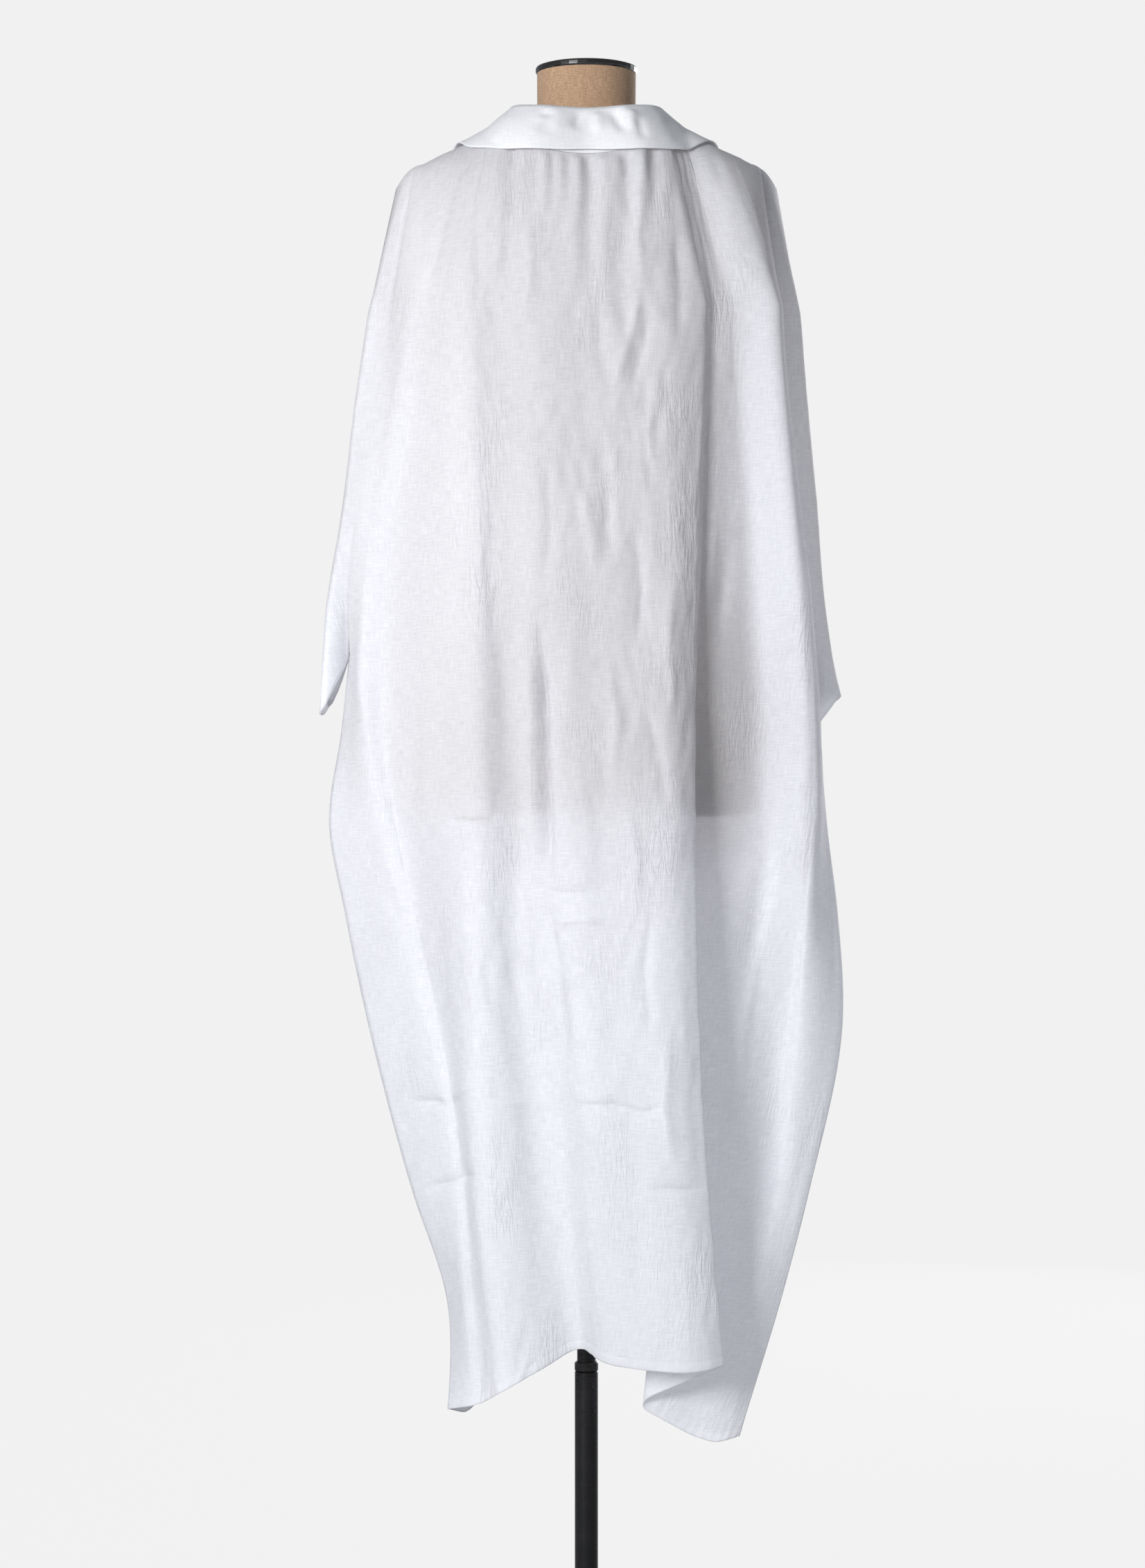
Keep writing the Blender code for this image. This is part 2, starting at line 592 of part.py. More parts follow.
def height_screw(material):
    """Knob and shank that clamp the inner tube, on the side away from the dress's back."""
    bpy.ops.mesh.primitive_cylinder_add(vertices=24, radius=KNOB_RADIUS, depth=KNOB_DEPTH)
    knob = bpy.context.object
    knob.name = "height_screw"
    knob.data.name = "height_screw"
    knob.rotation_euler = (math.pi / 2, 0, 0)
    knob.location = (0, -KNOB_START - KNOB_DEPTH / 2, SCREW_HEIGHT)
    length = KNOB_START - POLE_INNER - SEAM_GAP + KNOB_DEPTH / 4
    bpy.ops.mesh.primitive_cylinder_add(vertices=20, radius=SCREW_RADIUS, depth=length)
    shank = bpy.context.object
    shank.rotation_euler = (math.pi / 2, 0, 0)
    shank.location = (0, -POLE_INNER - SEAM_GAP - length / 2, SCREW_HEIGHT)
    move_to(shank, cutters)
    move_to(knob, dress)
    union = knob.modifiers.new("shank", "BOOLEAN")
    union.operation = "UNION"
    union.object = shank
    knob.data.materials.append(material)
    return knob


def screw_hole(outer_tube):
    reach = KNOB_START + WALL - POLE_INNER
    bpy.ops.mesh.primitive_cylinder_add(vertices=20, radius=SCREW_HOLE, depth=reach)
    hole = bpy.context.object
    hole.name = "screw_hole"
    hole.rotation_euler = (math.pi / 2, 0, 0)
    hole.location = (0, -POLE_INNER + SEAM_GAP - reach / 2, SCREW_HEIGHT)
    move_to(hole, cutters)
    cut = outer_tube.modifiers.new("screw_hole", "BOOLEAN")
    cut.operation = "DIFFERENCE"
    cut.object = hole


def move_to(item, collection):
    for owner in list(item.users_collection):
        owner.objects.unlink(item)
    collection.objects.link(item)
    if collection is cutters:
        item.hide_render = True
        item.display_type = "WIRE"


def material(name, color, roughness, metallic=0.0):
    made = bpy.data.materials.new(name)
    made.use_nodes = True
    shader = made.node_tree.nodes["Principled BSDF"]
    shader.inputs["Base Color"].default_value = (*color, 1)
    shader.inputs["Roughness"].default_value = roughness
    shader.inputs["Metallic"].default_value = metallic
    return made


for item in list(bpy.data.objects):
    bpy.data.objects.remove(item)

dress = bpy.data.collections.new("kaftan_dress_on_form")
cutters = bpy.data.collections.new("cutters")
bpy.context.scene.collection.children.link(dress)
bpy.context.scene.collection.children.link(cutters)

linen = material("white_linen", (0.90, 0.91, 0.93), 0.85)
cover = material("form_cover", (0.42, 0.30, 0.21), 0.90)
black = material("black_gloss", (0.012, 0.012, 0.014), 0.25)
chrome = material("cap_chrome", (0.35, 0.35, 0.36), 0.20, 1.0)
steel = material("base_steel", (0.03, 0.03, 0.032), 0.45, 1.0)

dress_parts = [
    panel("dress_back", "back", BACK_FOLDS, linen),
    panel("dress_front", "front", FRONT_FOLDS, linen),
    neckband(linen),
    collar(linen),
]

cap = [(0.0, CAP_TOP), (CAP_RADIUS - 0.006, CAP_TOP), (CAP_RADIUS - 0.001, CAP_TOP - 0.0015),
       (CAP_RADIUS, CAP_TOP - 0.003), (CAP_RADIUS, NECK_TOP + 0.0015),
       (CAP_RADIUS - 0.001, NECK_TOP + SEAM_GAP), (0.0, NECK_TOP + SEAM_GAP)]
form_parts = [
    torso(cover),
    turned("neck_cap", cap, chrome),
    tube("pole_flange", FLANGE_RADIUS, POLE_BORE, FORM_BOTTOM - SEAM_GAP - FLANGE_DEPTH,
         FORM_BOTTOM - SEAM_GAP, black, edge=0.002),
    tube("inner_tube", POLE_INNER, POLE_INNER - 0.0015, INNER_BOTTOM, FORM_BOTTOM - SEAM_GAP, black),
]

outer_tube = tube("outer_tube", POLE_OUTER, POLE_BORE, BASE_THICK + SEAM_GAP,
                  POLE_TOP - BUSH_HEIGHT - SEAM_GAP, black)
screw_hole(outer_tube)
plate = [(0.0, BASE_THICK), (BASE_RADIUS - 0.002, BASE_THICK), (BASE_RADIUS, BASE_THICK - 0.002),
         (BASE_RADIUS, 0.001), (BASE_RADIUS - 0.001, 0.0), (0.0, 0.0)]
stand_parts = [
    turned("base_plate", plate, steel, steps=64),
    tube("base_socket", SOCKET_RADIUS, POLE_OUTER + SEAM_GAP, BASE_THICK + SEAM_GAP, SOCKET_TOP,
         black, edge=0.003),
    outer_tube,
    tube("tube_bush", POLE_OUTER + 0.0002, POLE_BORE, POLE_TOP - BUSH_HEIGHT, POLE_TOP, black,
         edge=0.0012),
    height_screw(black),
]

# The form, with the dress on it, slides on the pole's axis at the top of the outer tube.
slider = bpy.data.objects.new("height_slide", None)
slider.location = (0, 0, POLE_TOP)
dress.objects.link(slider)
bpy.context.view_layer.update()
for part in (*dress_parts, *form_parts):
    part.parent = slider
    part.matrix_parent_inverse = slider.matrix_world.inverted()
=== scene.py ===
import math
from collections import namedtuple

import bpy
import numpy as np
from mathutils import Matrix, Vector, noise
from mathutils.bvhtree import BVHTree


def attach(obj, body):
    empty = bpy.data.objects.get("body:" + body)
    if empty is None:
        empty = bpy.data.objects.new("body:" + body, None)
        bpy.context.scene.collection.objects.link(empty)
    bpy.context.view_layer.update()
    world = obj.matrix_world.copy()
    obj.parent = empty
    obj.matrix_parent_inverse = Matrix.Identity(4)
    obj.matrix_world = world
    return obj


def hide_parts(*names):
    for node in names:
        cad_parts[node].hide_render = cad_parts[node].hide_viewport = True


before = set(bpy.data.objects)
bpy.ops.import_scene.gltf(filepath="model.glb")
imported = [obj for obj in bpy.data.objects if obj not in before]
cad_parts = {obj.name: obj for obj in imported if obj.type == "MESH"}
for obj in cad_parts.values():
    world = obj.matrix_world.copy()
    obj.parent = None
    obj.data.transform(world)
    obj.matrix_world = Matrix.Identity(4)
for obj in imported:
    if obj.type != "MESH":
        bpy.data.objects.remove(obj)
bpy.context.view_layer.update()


# node trees
class Nodes:
    # short calls for building the node tree of a material or the world
    def __init__(self, owner):
        owner.use_nodes = True
        self.made = owner
        self.tree = owner.node_tree
        self.shader = self.tree.nodes.get("Principled BSDF")

    def link(self, value, socket):
        if isinstance(value, (int, float)):
            socket.default_value = value
        elif isinstance(value, tuple):
            socket.default_value = (*value, 1) if socket.type == "RGBA" else value
        else:
            self.tree.links.new(value, socket)

    def set(self, **values):
        for name, value in values.items():
            self.link(value, self.shader.inputs[name.replace("_", " ")])

    def show(self, surface):
        self.link(surface, self.tree.get_output_node("ALL").inputs["Surface"])

    def new(self, kind, sockets=None, **settings):
        node = self.tree.nodes.new("ShaderNode" + kind)
        for name, value in settings.items():
            setattr(node, name, value)
        for name, value in (sockets or {}).items():
            self.link(value, node.inputs[name])
        return node

    def fed(self, kind, *values, **settings):
        # a new node whose first sockets take the values in turn
        return self.new(kind, dict(enumerate(values)), **settings).outputs[0]

    def math(self, operation, a, b=0.0, c=0.0):
        return self.fed("Math", a, b, c, operation=operation)

    def span(self, value, low, high, start=0.0, end=1.0):
        return self.fed("MapRange", value, low, high, start, end, clamp=True)

    def mix(self, share, a, b):
        return self.new("Mix", {0: share, 6: a, 7: b}, data_type="RGBA").outputs[2]

    def blend(self, share, a, b):
        return self.fed("MixShader", share, a, b)

    def seen(self):
        # 1 for what the camera sees directly, 0 for the light that things get
        return self.new("LightPath").outputs["Is Camera Ray"]

    def scaled(self, vector, scale):
        return self.new("Mapping", {"Vector": vector, "Scale": scale}).outputs[0]

    def noise(self, vector, scale, detail=2.0, rough=0.5):
        sockets = {"Vector": self.scaled(vector, scale), "Scale": 1.0, "Detail": detail, "Roughness": rough}
        return self.new("TexNoise", sockets).outputs["Fac"]

    def bump(self, height, distance, strength=1.0, after=None):
        sockets = {"Strength": strength, "Distance": distance, "Height": height}
        if after is not None:
            sockets["Normal"] = after
        return self.new("Bump", sockets).outputs[0]


# camera, stage and lights
camera = {"place": (0.015, 4.0, 0.975), "lens": 85, "film": 36}   # lens and film's long side in mm
stage = {
    "floor": 3.6, "corners": 96, "floorTone": (0.42, 0.42, 0.42), "floorRough": 0.9,
    "shade": (0.88, 0.88, 0.88),      # the wall behind
    "pale": (0.917, 0.917, 0.917), "glow": 0.94,
    "sky": (0.90, 0.95, 1.0), "ambient": 0.31,
    "aim": (0, 0, 1.1),      # where the lamps point
}
lamps = {  # place, size in metres, power in watts
    "key": {"place": (1.90, 3.12, 1.6), "size": 1.0, "power": 137},
    "front": {"place": (-1.6, -3.1, 1.6), "size": 2.2, "power": 92},
    "glow": {"place": (1.3, -3.0, 1.0), "size": 2.6, "power": 25},
}


def addThing(name, data):
    thing = bpy.data.objects.new(name, data)
    bpy.context.scene.collection.objects.link(thing)
    return thing


def addCamera():
    data = bpy.data.cameras.new("camera")
    data.lens = camera["lens"]
    data.sensor_width = camera["film"]
    eye = addThing("camera", data)
    eye.location = camera["place"]
    eye.rotation_euler = (math.pi / 2, 0, math.pi)
    bpy.context.scene.camera = eye


def addLamps():
    for name, settings in lamps.items():
        data = bpy.data.lights.new(name, "AREA")
        data.size = settings["size"]
        data.energy = settings["power"]
        lamp = addThing(name, data)
        lamp.location = settings["place"]
        way = Vector(stage["aim"]) - lamp.location
        lamp.rotation_euler = way.to_track_quat("-Z", "Y").to_euler()
        lamp.visible_camera = False


def limitGlow(receivers, blockers):
    # the glow lamp lights the back's cloth from within; only the dress form and pole stand in its way
    lamp = bpy.data.objects["glow"]
    for name, pieces in (("receiver", receivers), ("blocker", blockers)):
        group = bpy.data.collections.new("glow " + name)
        for piece in pieces:
            group.objects.link(piece)
        setattr(lamp.light_linking, name + "_collection", group)


def addWorld():
    world = bpy.data.worlds.new("studio")
    bpy.context.scene.world = world
    n = Nodes(world)
    wall = n.tree.nodes["Background"]
    n.link(stage["shade"], wall.inputs["Color"])
    light = n.new("Background", {"Color": stage["sky"], "Strength": stage["ambient"]})
    n.show(n.blend(n.seen(), light.outputs[0], wall.outputs[0]))


def addFloor():
    mesh = bpy.data.meshes.new("floor")
    reach, corners = stage["floor"], stage["corners"]
    turns = np.linspace(0, 2 * math.pi, corners + 1)[:-1]
    mesh.from_pydata([(reach * math.cos(a), reach * math.sin(a), 0) for a in turns], [], [range(corners)])
    n = Nodes(bpy.data.materials.new("paleFloor"))
    n.set(Base_Color=stage["floorTone"], Roughness=stage["floorRough"])
    glow = n.new("Emission", {"Color": stage["pale"]})
    share = n.math("MULTIPLY", n.seen(), stage["glow"])
    n.show(n.blend(share, n.shader.outputs[0], glow.outputs[0]))
    mesh.materials.append(n.made)
    floor = addThing("floor", mesh)


bpy.context.scene.view_settings.view_transform = "Standard"
addCamera()
addWorld()
addLamps()
addFloor()
print("stage ready")


# materials
linen = {
    "light": (0.945, 0.947, 0.972), "dull": (0.845, 0.850, 0.885),
    "cloud": (0.90, 0.905, 0.93), "cloudShare": 0.25,
    "seamLine": (0.70, 0.71, 0.74), "lineShare": 0.28,
    "thread": (0.97, 0.97, 0.98), "threadShare": 0.8,
    "rough": (0.86, 0.72),       # from dense to open places
    "sheen": 0.25, "sheenRough": 0.45, "shine": 0.25,
    "yarn": 0.00125,     # width of a yarn's streak
    "slub": 0.016,       # length of a thick place in a yarn
    "crinkle": (0.0060, 0.034),   # width and length of the small creases
    "crinkleRange": (0.0, 0.12), "slackRange": (0.48, 0.66, 0.05, 1.0),
    "slack": (13, 7, 1), "cloudy": (14, 9, 1),   # how close together the crinkled and dull patches are
    "streaks": (0.36, 0.64), "clouds": (0.3, 0.7), "roughRange": (0.3, 0.7),
    "open": (0.045, 0.120), "openRange": (0.62, 0.40),   # what shows between yarns, from dense to open
    "clingShadeOpen": 0.15,   # the same, added where the cloth clings to the dress form: painted shade, letting more of the dark form show through
    "hemOpen": 0.03,
    "glowThrough": 0.52,
    "weaveBump": (0.00026, 0.7), "crinkleBump": (0.0016, 0.45), "threadBump": (0.0003, 0.6),
    "stitchLength": 0.0032, "stitchGap": (0.68, 0.74),
    "stitchDepth": 0.0100,   # from the hem's edge to its stitching
    "stitchInset": 0.0008, "lineEdge": (0.0006, 0.0002),   # from there to the line, and the line's edges
}


def weaveOf(n, grain, settings):
    # uneven yarns both ways: streaks across and along the cloth
    thin, long = 1 / settings["yarn"], 1 / settings["slub"]
    along, across = (n.noise(grain, (*scale, 1), detail=2.5, rough=0.6)
                     for scale in ((thin, long), (long, thin)))
    return n.math("MULTIPLY", n.math("ADD", along, across), 0.5)


def linenMaterial(name, sheer=1.0, through=1.0, creased=1.0, settings=linen):
    n = Nodes(bpy.data.materials.new(name))
    grain = n.new("UVMap", uv_map="grain").outputs[0]
    edge = n.new("SeparateXYZ", {0: n.new("UVMap", uv_map="hem").outputs[0]})
    alongHem, fromHem = edge.outputs[0], edge.outputs[1]
    weave = weaveOf(n, grain, settings)
    cloudy = n.noise(grain, settings["cloudy"], detail=3)
    # the hem's line and the stitches on it
    depth = settings["stitchDepth"]
    soft, full = settings["lineEdge"]
    inHem = n.span(fromHem, depth + soft, depth + full)
    nearLine = n.math("ABSOLUTE", n.math("SUBTRACT", fromHem, depth - settings["stitchInset"]))
    line = n.span(nearLine, soft, full)
    beat = n.math("FRACT", n.math("DIVIDE", alongHem, settings["stitchLength"]))
    stitch = n.math("MULTIPLY", line, n.span(beat, *settings["stitchGap"], 1.0, 0.0))
    # colour
    tone = n.mix(n.span(weave, *settings["streaks"]), settings["dull"], settings["light"])
    clouds = n.span(cloudy, *settings["clouds"], 0.0, settings["cloudShare"])
    tone = n.mix(clouds, tone, settings["cloud"])
    tone = n.mix(n.math("MULTIPLY", line, settings["lineShare"]), tone, settings["seamLine"])
    tone = n.mix(n.math("MULTIPLY", stitch, settings["threadShare"]), tone, settings["thread"])
    # weave, crinkles and stitches as bumps
    wide, long = settings["crinkle"]
    folded = n.noise(grain, (1 / wide, 1 / long, 1), detail=2.5, rough=0.55)
    folded = n.math("ABSOLUTE", n.math("SUBTRACT", folded, 0.5))
    slack = n.span(n.noise(grain, settings["slack"]), *settings["slackRange"])
    crinkled = n.math("MULTIPLY", n.span(folded, *settings["crinkleRange"]), slack)
    height, strength = settings["crinkleBump"]
    raised = n.bump(weave, *settings["weaveBump"])
    raised = n.bump(crinkled, height, strength * creased, after=raised)
    raised = n.bump(n.math("SUBTRACT", stitch, line), *settings["threadBump"], after=raised)
    n.set(Base_Color=tone, Roughness=n.span(weave, *settings["roughRange"], *settings["rough"]),
          Sheen_Weight=settings["sheen"], Sheen_Roughness=settings["sheenRough"],
          Specular_IOR_Level=settings["shine"], Normal=raised)
    # light through the cloth, and through the gaps between its yarns
    lit = n.new("BsdfTranslucent", {"Color": tone})
    body = n.blend(settings["glowThrough"] * through, n.shader.outputs[0], lit.outputs[0])
    dense, thin = (value * sheer for value in settings["open"])
    gaps = n.span(weave, *settings["openRange"], dense, thin)
    # painted shade: where the cloth clings to the form's right hip it is made more see-through, so the dark
    # form darkens it as the shadow there would
    clingShade = n.new("Attribute", attribute_name="clingShade").outputs["Fac"]
    gaps = n.math("MULTIPLY_ADD", clingShade, settings["clingShadeOpen"] * sheer, gaps)
    gaps = n.math("MULTIPLY_ADD", inHem, n.math("SUBTRACT", settings["hemOpen"] * sheer, gaps), gaps)
    n.show(n.blend(gaps, body, n.new("BsdfTransparent").outputs[0]))
    return n.made


formLinen = {
    "light": (0.52, 0.345, 0.218), "dark": (0.25, 0.155, 0.094), "worn": (0.36, 0.22, 0.14),
    "rough": (0.95, 0.8), "roughRange": (0.3, 0.7), "sheen": 0.2, "sheenRough": 0.5, "shine": 0.3,
    "yarn": 0.0010, "slub": 0.012, "streaks": (0.36, 0.62), "weaveBump": (0.0004, 0.8),
    "wear": (22, 16, 1), "wearRange": (0.35, 0.75, 0.0, 0.35),
}


def formMaterial(settings=formLinen):
    n = Nodes(bpy.data.materials.new("formLinen"))
    grain = n.new("UVMap", uv_map="grain").outputs[0]
    weave = weaveOf(n, grain, settings)
    worn = n.noise(grain, settings["wear"], detail=4)
    tone = n.mix(n.span(weave, *settings["streaks"]), settings["dark"], settings["light"])
    tone = n.mix(n.span(worn, *settings["wearRange"]), tone, settings["worn"])
    n.set(Base_Color=tone, Roughness=n.span(weave, *settings["roughRange"], *settings["rough"]),
          Sheen_Weight=settings["sheen"], Sheen_Roughness=settings["sheenRough"],
          Specular_IOR_Level=settings["shine"], Normal=n.bump(weave, *settings["weaveBump"]))
    return n.made


Metal = namedtuple("Metal", "tone scuff rough metallic shine")
metals = {
    "poleGloss": Metal((0.008, 0.008, 0.009), (0.014, 0.014, 0.016), (0.22, 0.36), 0.0, 0.28),
    "capBlack": Metal((0.014, 0.013, 0.013), (0.04, 0.04, 0.04), (0.22, 0.40), 0.0, 0.3),
    "capChrome": Metal((0.12, 0.12, 0.125), (0.06, 0.06, 0.065), (0.10, 0.26), 1.0, 0.5),
    "baseSatin": Metal((0.020, 0.020, 0.022), (0.060, 0.060, 0.064), (0.36, 0.55), 0.6, 0.5),
}
wear = {  # marks on all the metals: how close together they are each way, and how far they show
    "brushed": (60, 60, 900), "dust": (35, 35, 35), "marks": (180, 180, 40),
    "dustRange": (0.45, 0.75, 0.0, 0.5), "markRange": (0.60, 0.72), "markShare": 0.25,
    "roughRange": (0.7, 1.3), "brushShare": 0.3, "bump": (0.00006, 0.4),
}


def metalMaterial(name):
    metal = metals[name]
    n = Nodes(bpy.data.materials.new(name))
    place = n.new("TexCoord").outputs["Object"]
    brushed = n.noise(place, wear["brushed"], detail=3)
    dust = n.noise(place, wear["dust"], detail=5, rough=0.6)
    marks = n.span(n.noise(place, wear["marks"]), *wear["markRange"])
    tone = n.mix(n.span(dust, *wear["dustRange"]), metal.tone, metal.scuff)
    tone = n.mix(n.math("MULTIPLY", marks, wear["markShare"]), tone, metal.scuff)
    uneven = n.math("ADD", n.math("MULTIPLY", brushed, wear["brushShare"]), dust)
    rough = n.span(n.math("ADD", brushed, dust), *wear["roughRange"], *metal.rough)
    n.set(Base_Color=tone, Metallic=metal.metallic, Specular_IOR_Level=metal.shine,
          Roughness=rough, Normal=n.bump(uneven, *wear["bump"]))
    return n.made


linenSheer = linenMaterial("linenSheer")
linenFront = linenMaterial("linenFront", through=0.72)
linenDouble = linenMaterial("linenDouble", sheer=0.30, through=0.45, creased=0.12)
formCover = formMaterial()
finishes = {name: metalMaterial(name) for name in metals}
print("materials ready")


# sizes of the dress form
form = {"clear": 0.003, "restGap": 0.0005, "seamGap": 0.0003, "shoulderEnd": 1.641, "shoulderTop": 1.700}
Section = namedtuple("Section", "height half back front square")
formSections = [Section(*row) for row in (
    (0.940, 0.170, 0.100, 0.100, 2.3),
    (0.985, 0.173, 0.104, 0.104, 2.3),
    (1.040, 0.171, 0.104, 0.104, 2.3),
    (1.100, 0.160, 0.099, 0.101, 2.3),
    (1.160, 0.142, 0.093, 0.096, 2.3),
    (1.220, 0.130, 0.089, 0.093, 2.3),
    (1.290, 0.135, 0.094, 0.100, 2.3),
    (1.350, 0.147, 0.101, 0.112, 2.3),
    (1.410, 0.158, 0.106, 0.119, 2.3),
    (1.480, 0.171, 0.107, 0.114, 2.3),
    (1.540, 0.181, 0.095, 0.098, 2.3),
    (1.580, 0.187, 0.080, 0.081, 2.2),
    (1.610, 0.189, 0.066, 0.064, 2.0),
    (1.630, 0.184, 0.057, 0.055, 1.7),
    (1.641, 0.176, 0.053, 0.051, 1.4),
    (1.650, 0.157, 0.052, 0.050, 1.4),
    (1.661, 0.131, 0.051, 0.050, 1.5),
    (1.672, 0.100, 0.0515, 0.051, 1.7),
    (1.684, 0.074, 0.0525, 0.052, 1.9),
    (1.695, 0.059, 0.0535, 0.0535, 2.0),
    (1.706, 0.0535, 0.0535, 0.0535, 2.0),
    (1.742, 0.0535, 0.0535, 0.0535, 2.0),
)]
sectionHeights = [section.height for section in formSections]


def sectionAt(z, name):
    # one of the dress form's measures at the height z
    return np.interp(z, sectionHeights, [getattr(section, name) for section in formSections])


def formAt(side, x, z):
    # how far out the dress form's surface is at x and z
    square = sectionAt(z, "square")
    share = np.minimum(np.abs(x) / sectionAt(z, "half"), 1.0)
    return sectionAt(z, side) * (1 - share**square) ** (1 / square)


# the dress's two panels
dress = {
    "thickness": 0.0009,
    "wallMiddle": 0.00075,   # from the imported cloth's inner face to its middle
    "bladeHeight": 1.48,     # below this height the cloth hangs free
    "hipShare": 0.377, "kneeShare": 0.754, "cuffShare": 0.335, "tiltReach": 0.250,
    "shoulderHalf": 0.2045, "tipStart": 0.176, "tipBend": 29.0,
    "sleeveFold": 0.026, "overarmLip": (0.030, 0.013), "sleeveDepth": 0.046,
    "sleeveLift": (0.0, 0.75, 0.95, 0.8, 0.45, 0.0),
    "cuffBulge": {"back": 0.012, "front": 0.060},
    "neckHalf": 0.100, "neckDrop": {"back": 0.036, "front": 0.118},
    "neckCurve": {"back": 0.7, "front": 0.9}, "neckCrowd": 1.35,
    "neckLift": 0.0035, "neckLiftEnd": 0.128,
    "shoulderSquare": 3.0, "neckSquare": 2.2, "squareReach": 0.14,
    "step": 0.0037,          # between columns of the cloth's grid
    "leastTurn": 7,          # columns in the sharpest fold's turn
    "turnReach": 0.48,       # how far a soft fold's turn reaches along the cloth beside it
    "stripColumns": 11, "lipColumns": 7, "lipSoftness": 0.9,
    "capRows": 28, "capCrowd": 1.3, "sleeveRows": 54, "skirtRows": 96,
    "tipCrowd": 0.5, "tipCrowdFrom": (0.6, 0.8),   # crowds the outer columns towards the shoulder's tip
    "capCalm": 0.060, "capCalmTop": 1.545, "capCalmTo": 0.2095,   # folds fade out towards the shoulder
    "packRows": (0.486, 0.556, 0.582, 0.727, 0.751, 0.798, 0.827),   # finer rows for the packing creases
    "packSteps": (-0.0042, -0.0024, -0.0008, 0.0008, 0.0024, 0.0042), "packMargin": 0.0012,
    "hemLevel": 0.33,        # the hem's usual height, from which the lowest rows are spaced
    "hemRows": (0.0, 0.0018, 0.0045, 0.0072, 0.0086, 0.0096, 0.0106, 0.0125, 0.016),
}
Edge = namedtuple("Edge", "height left right")
overarm = [Edge(*row) for row in (
    (1.48, 0.2345, 0.2285),
    (1.38, 0.2495, 0.2372),
    (1.28, 0.2617, 0.2465),
    (1.16, 0.2795, 0.2563),
    (1.05, 0.2857, 0.2750),
)]
sleeveTip = {"left": 1.0495, "right": 1.069}
underarm = {"left": 1.115, "right": 1.040}
sideSeam = [Edge(*row) for row in (
    (1.115, 0.2550, 0.2516),
    (1.040, 0.2625, 0.2516),
    (0.930, 0.2770, 0.2590),
    (0.840, 0.2610, 0.2700),
    (0.720, 0.2360, 0.2760),
    (0.540, 0.1886, 0.2410),
    (0.420, 0.1500, 0.2100),
    (0.270, 0.1490, 0.1640),
)]
seamHem = {"left": 0.2997, "right": 0.2710}

# Hanging folds from the wearer's left to right, in millimetres: across and out at the shoulder
# blade, hip, knee and hem, the hem's height, and how softly the cloth turns (1 is the softest).
Fold = namedtuple("Fold", "across out hem softness")
folds = {
    "back": {
        "leftFacet": Fold((186, 240, 148, 122), (76, 46, 55, 35), 309, 0.5),
        "leftRecess": Fold((163, 214, 134, 108), (90, 43, 60, 45), 315, 0.6),
        "leftRidge": Fold((131, 126, 112, 84), (113, 129, 112, 85), 335, 1.0),
        "leftStep": Fold((101, 80, 37, 6), (111, 113, 87, 50), 377, 0.6),
        "centreLeft": Fold((53, 34, -3, -19), (126, 138, 131, 98), 363, 0.8),
        "centreRight": Fold((-39, -48, -63, -87), (124, 138, 136, 118), 357, 1.0),
        "rightCrest": Fold((-88, -90, -98, -120), (124, 139, 133, 116), 358, 1.0),
        "rightEdge": Fold((-123, -113, -124, -147), (107, 118, 113, 93), 362, 0.35),
        "underFold": Fold((-134, -109, -86, -50), (93, 94, 50, 32), 311, 0.5),
        "rightPanel": Fold((-157, -188, -156, -112), (87, 52, 31, 13), 274, 0.5),
        "rightRidge": Fold((-203, -226, -194, -138), (105, 87, 29, 9), 265, 0.9),
        "rightTuck": Fold((-209, -248, -216, -152), (78, 76, 25, 6), 268, 0.7),
    },
    "front": {
        "leftSide": Fold((182, 222, 150, 126), (74, 62, 70, 50), 286, 0.8),
        "leftPleat": Fold((130, 152, 118, 88), (112, 134, 122, 98), 345, 1.0),
        "leftHollow": Fold((78, 92, 66, 46), (124, 122, 108, 88), 381, 0.9),
        "middle": Fold((18, 12, 6, -4), (134, 160, 150, 134), 392, 1.0),
        "rightHollow": Fold((-62, -78, -64, -52), (125, 124, 112, 92), 384, 0.9),
        "rightPleat": Fold((-128, -146, -122, -96), (112, 138, 128, 102), 352, 1.0),
        "rightSide": Fold((-180, -226, -196, -148), (72, 60, 66, 40), 292, 0.8),
    },
}


def through(stations, values, at):
    # smooth curve through the values at rising or falling stations
    order = np.argsort(stations)
    x = np.asarray(stations, float)[order]
    y = np.asarray(values, float)[order]
    slope = np.gradient(y, x)
    at = min(max(at, x[0]), x[-1])
    k = int(min(np.searchsorted(x, at, side="right") - 1, len(x) - 2))
    width = x[k + 1] - x[k]
    t = (at - x[k]) / width
    rise = y[k] * (2 * t**3 - 3 * t**2 + 1) + y[k + 1] * (3 * t**2 - 2 * t**3)
    bend = slope[k] * (t**3 - 2 * t**2 + t) + slope[k + 1] * (t**3 - t**2)
    return rise + width * bend


def lengthsAlong(points):
    # length of a line of points up to each of them
    steps = [math.dist(a, b) for a, b in zip(points, points[1:])]
    return np.concatenate([[0.0], np.cumsum(steps)])


def smooth(value, low, high):
    # 0 up to low and 1 from high on, with a soft rise between
    t = np.clip((value - low) / (high - low), 0.0, 1.0)
    return t * t * (3 - 2 * t)


def shoulderLine(x):
    # height of the dress's shoulder and overarm line
    reach = abs(x)
    slope = [section for section in formSections if section.height >= form["shoulderEnd"]][::-1]
    top = np.interp(reach, [section.half for section in slope], [section.height for section in slope])
    near = smooth(-reach, -dress["neckLiftEnd"], -dress["neckHalf"])
    lift = form["restGap"] + dress["neckLift"] * near
    drop = dress["tipBend"] * max(0.0, reach - dress["tipStart"]) ** 2
    return min(top, form["shoulderTop"]) + lift - drop


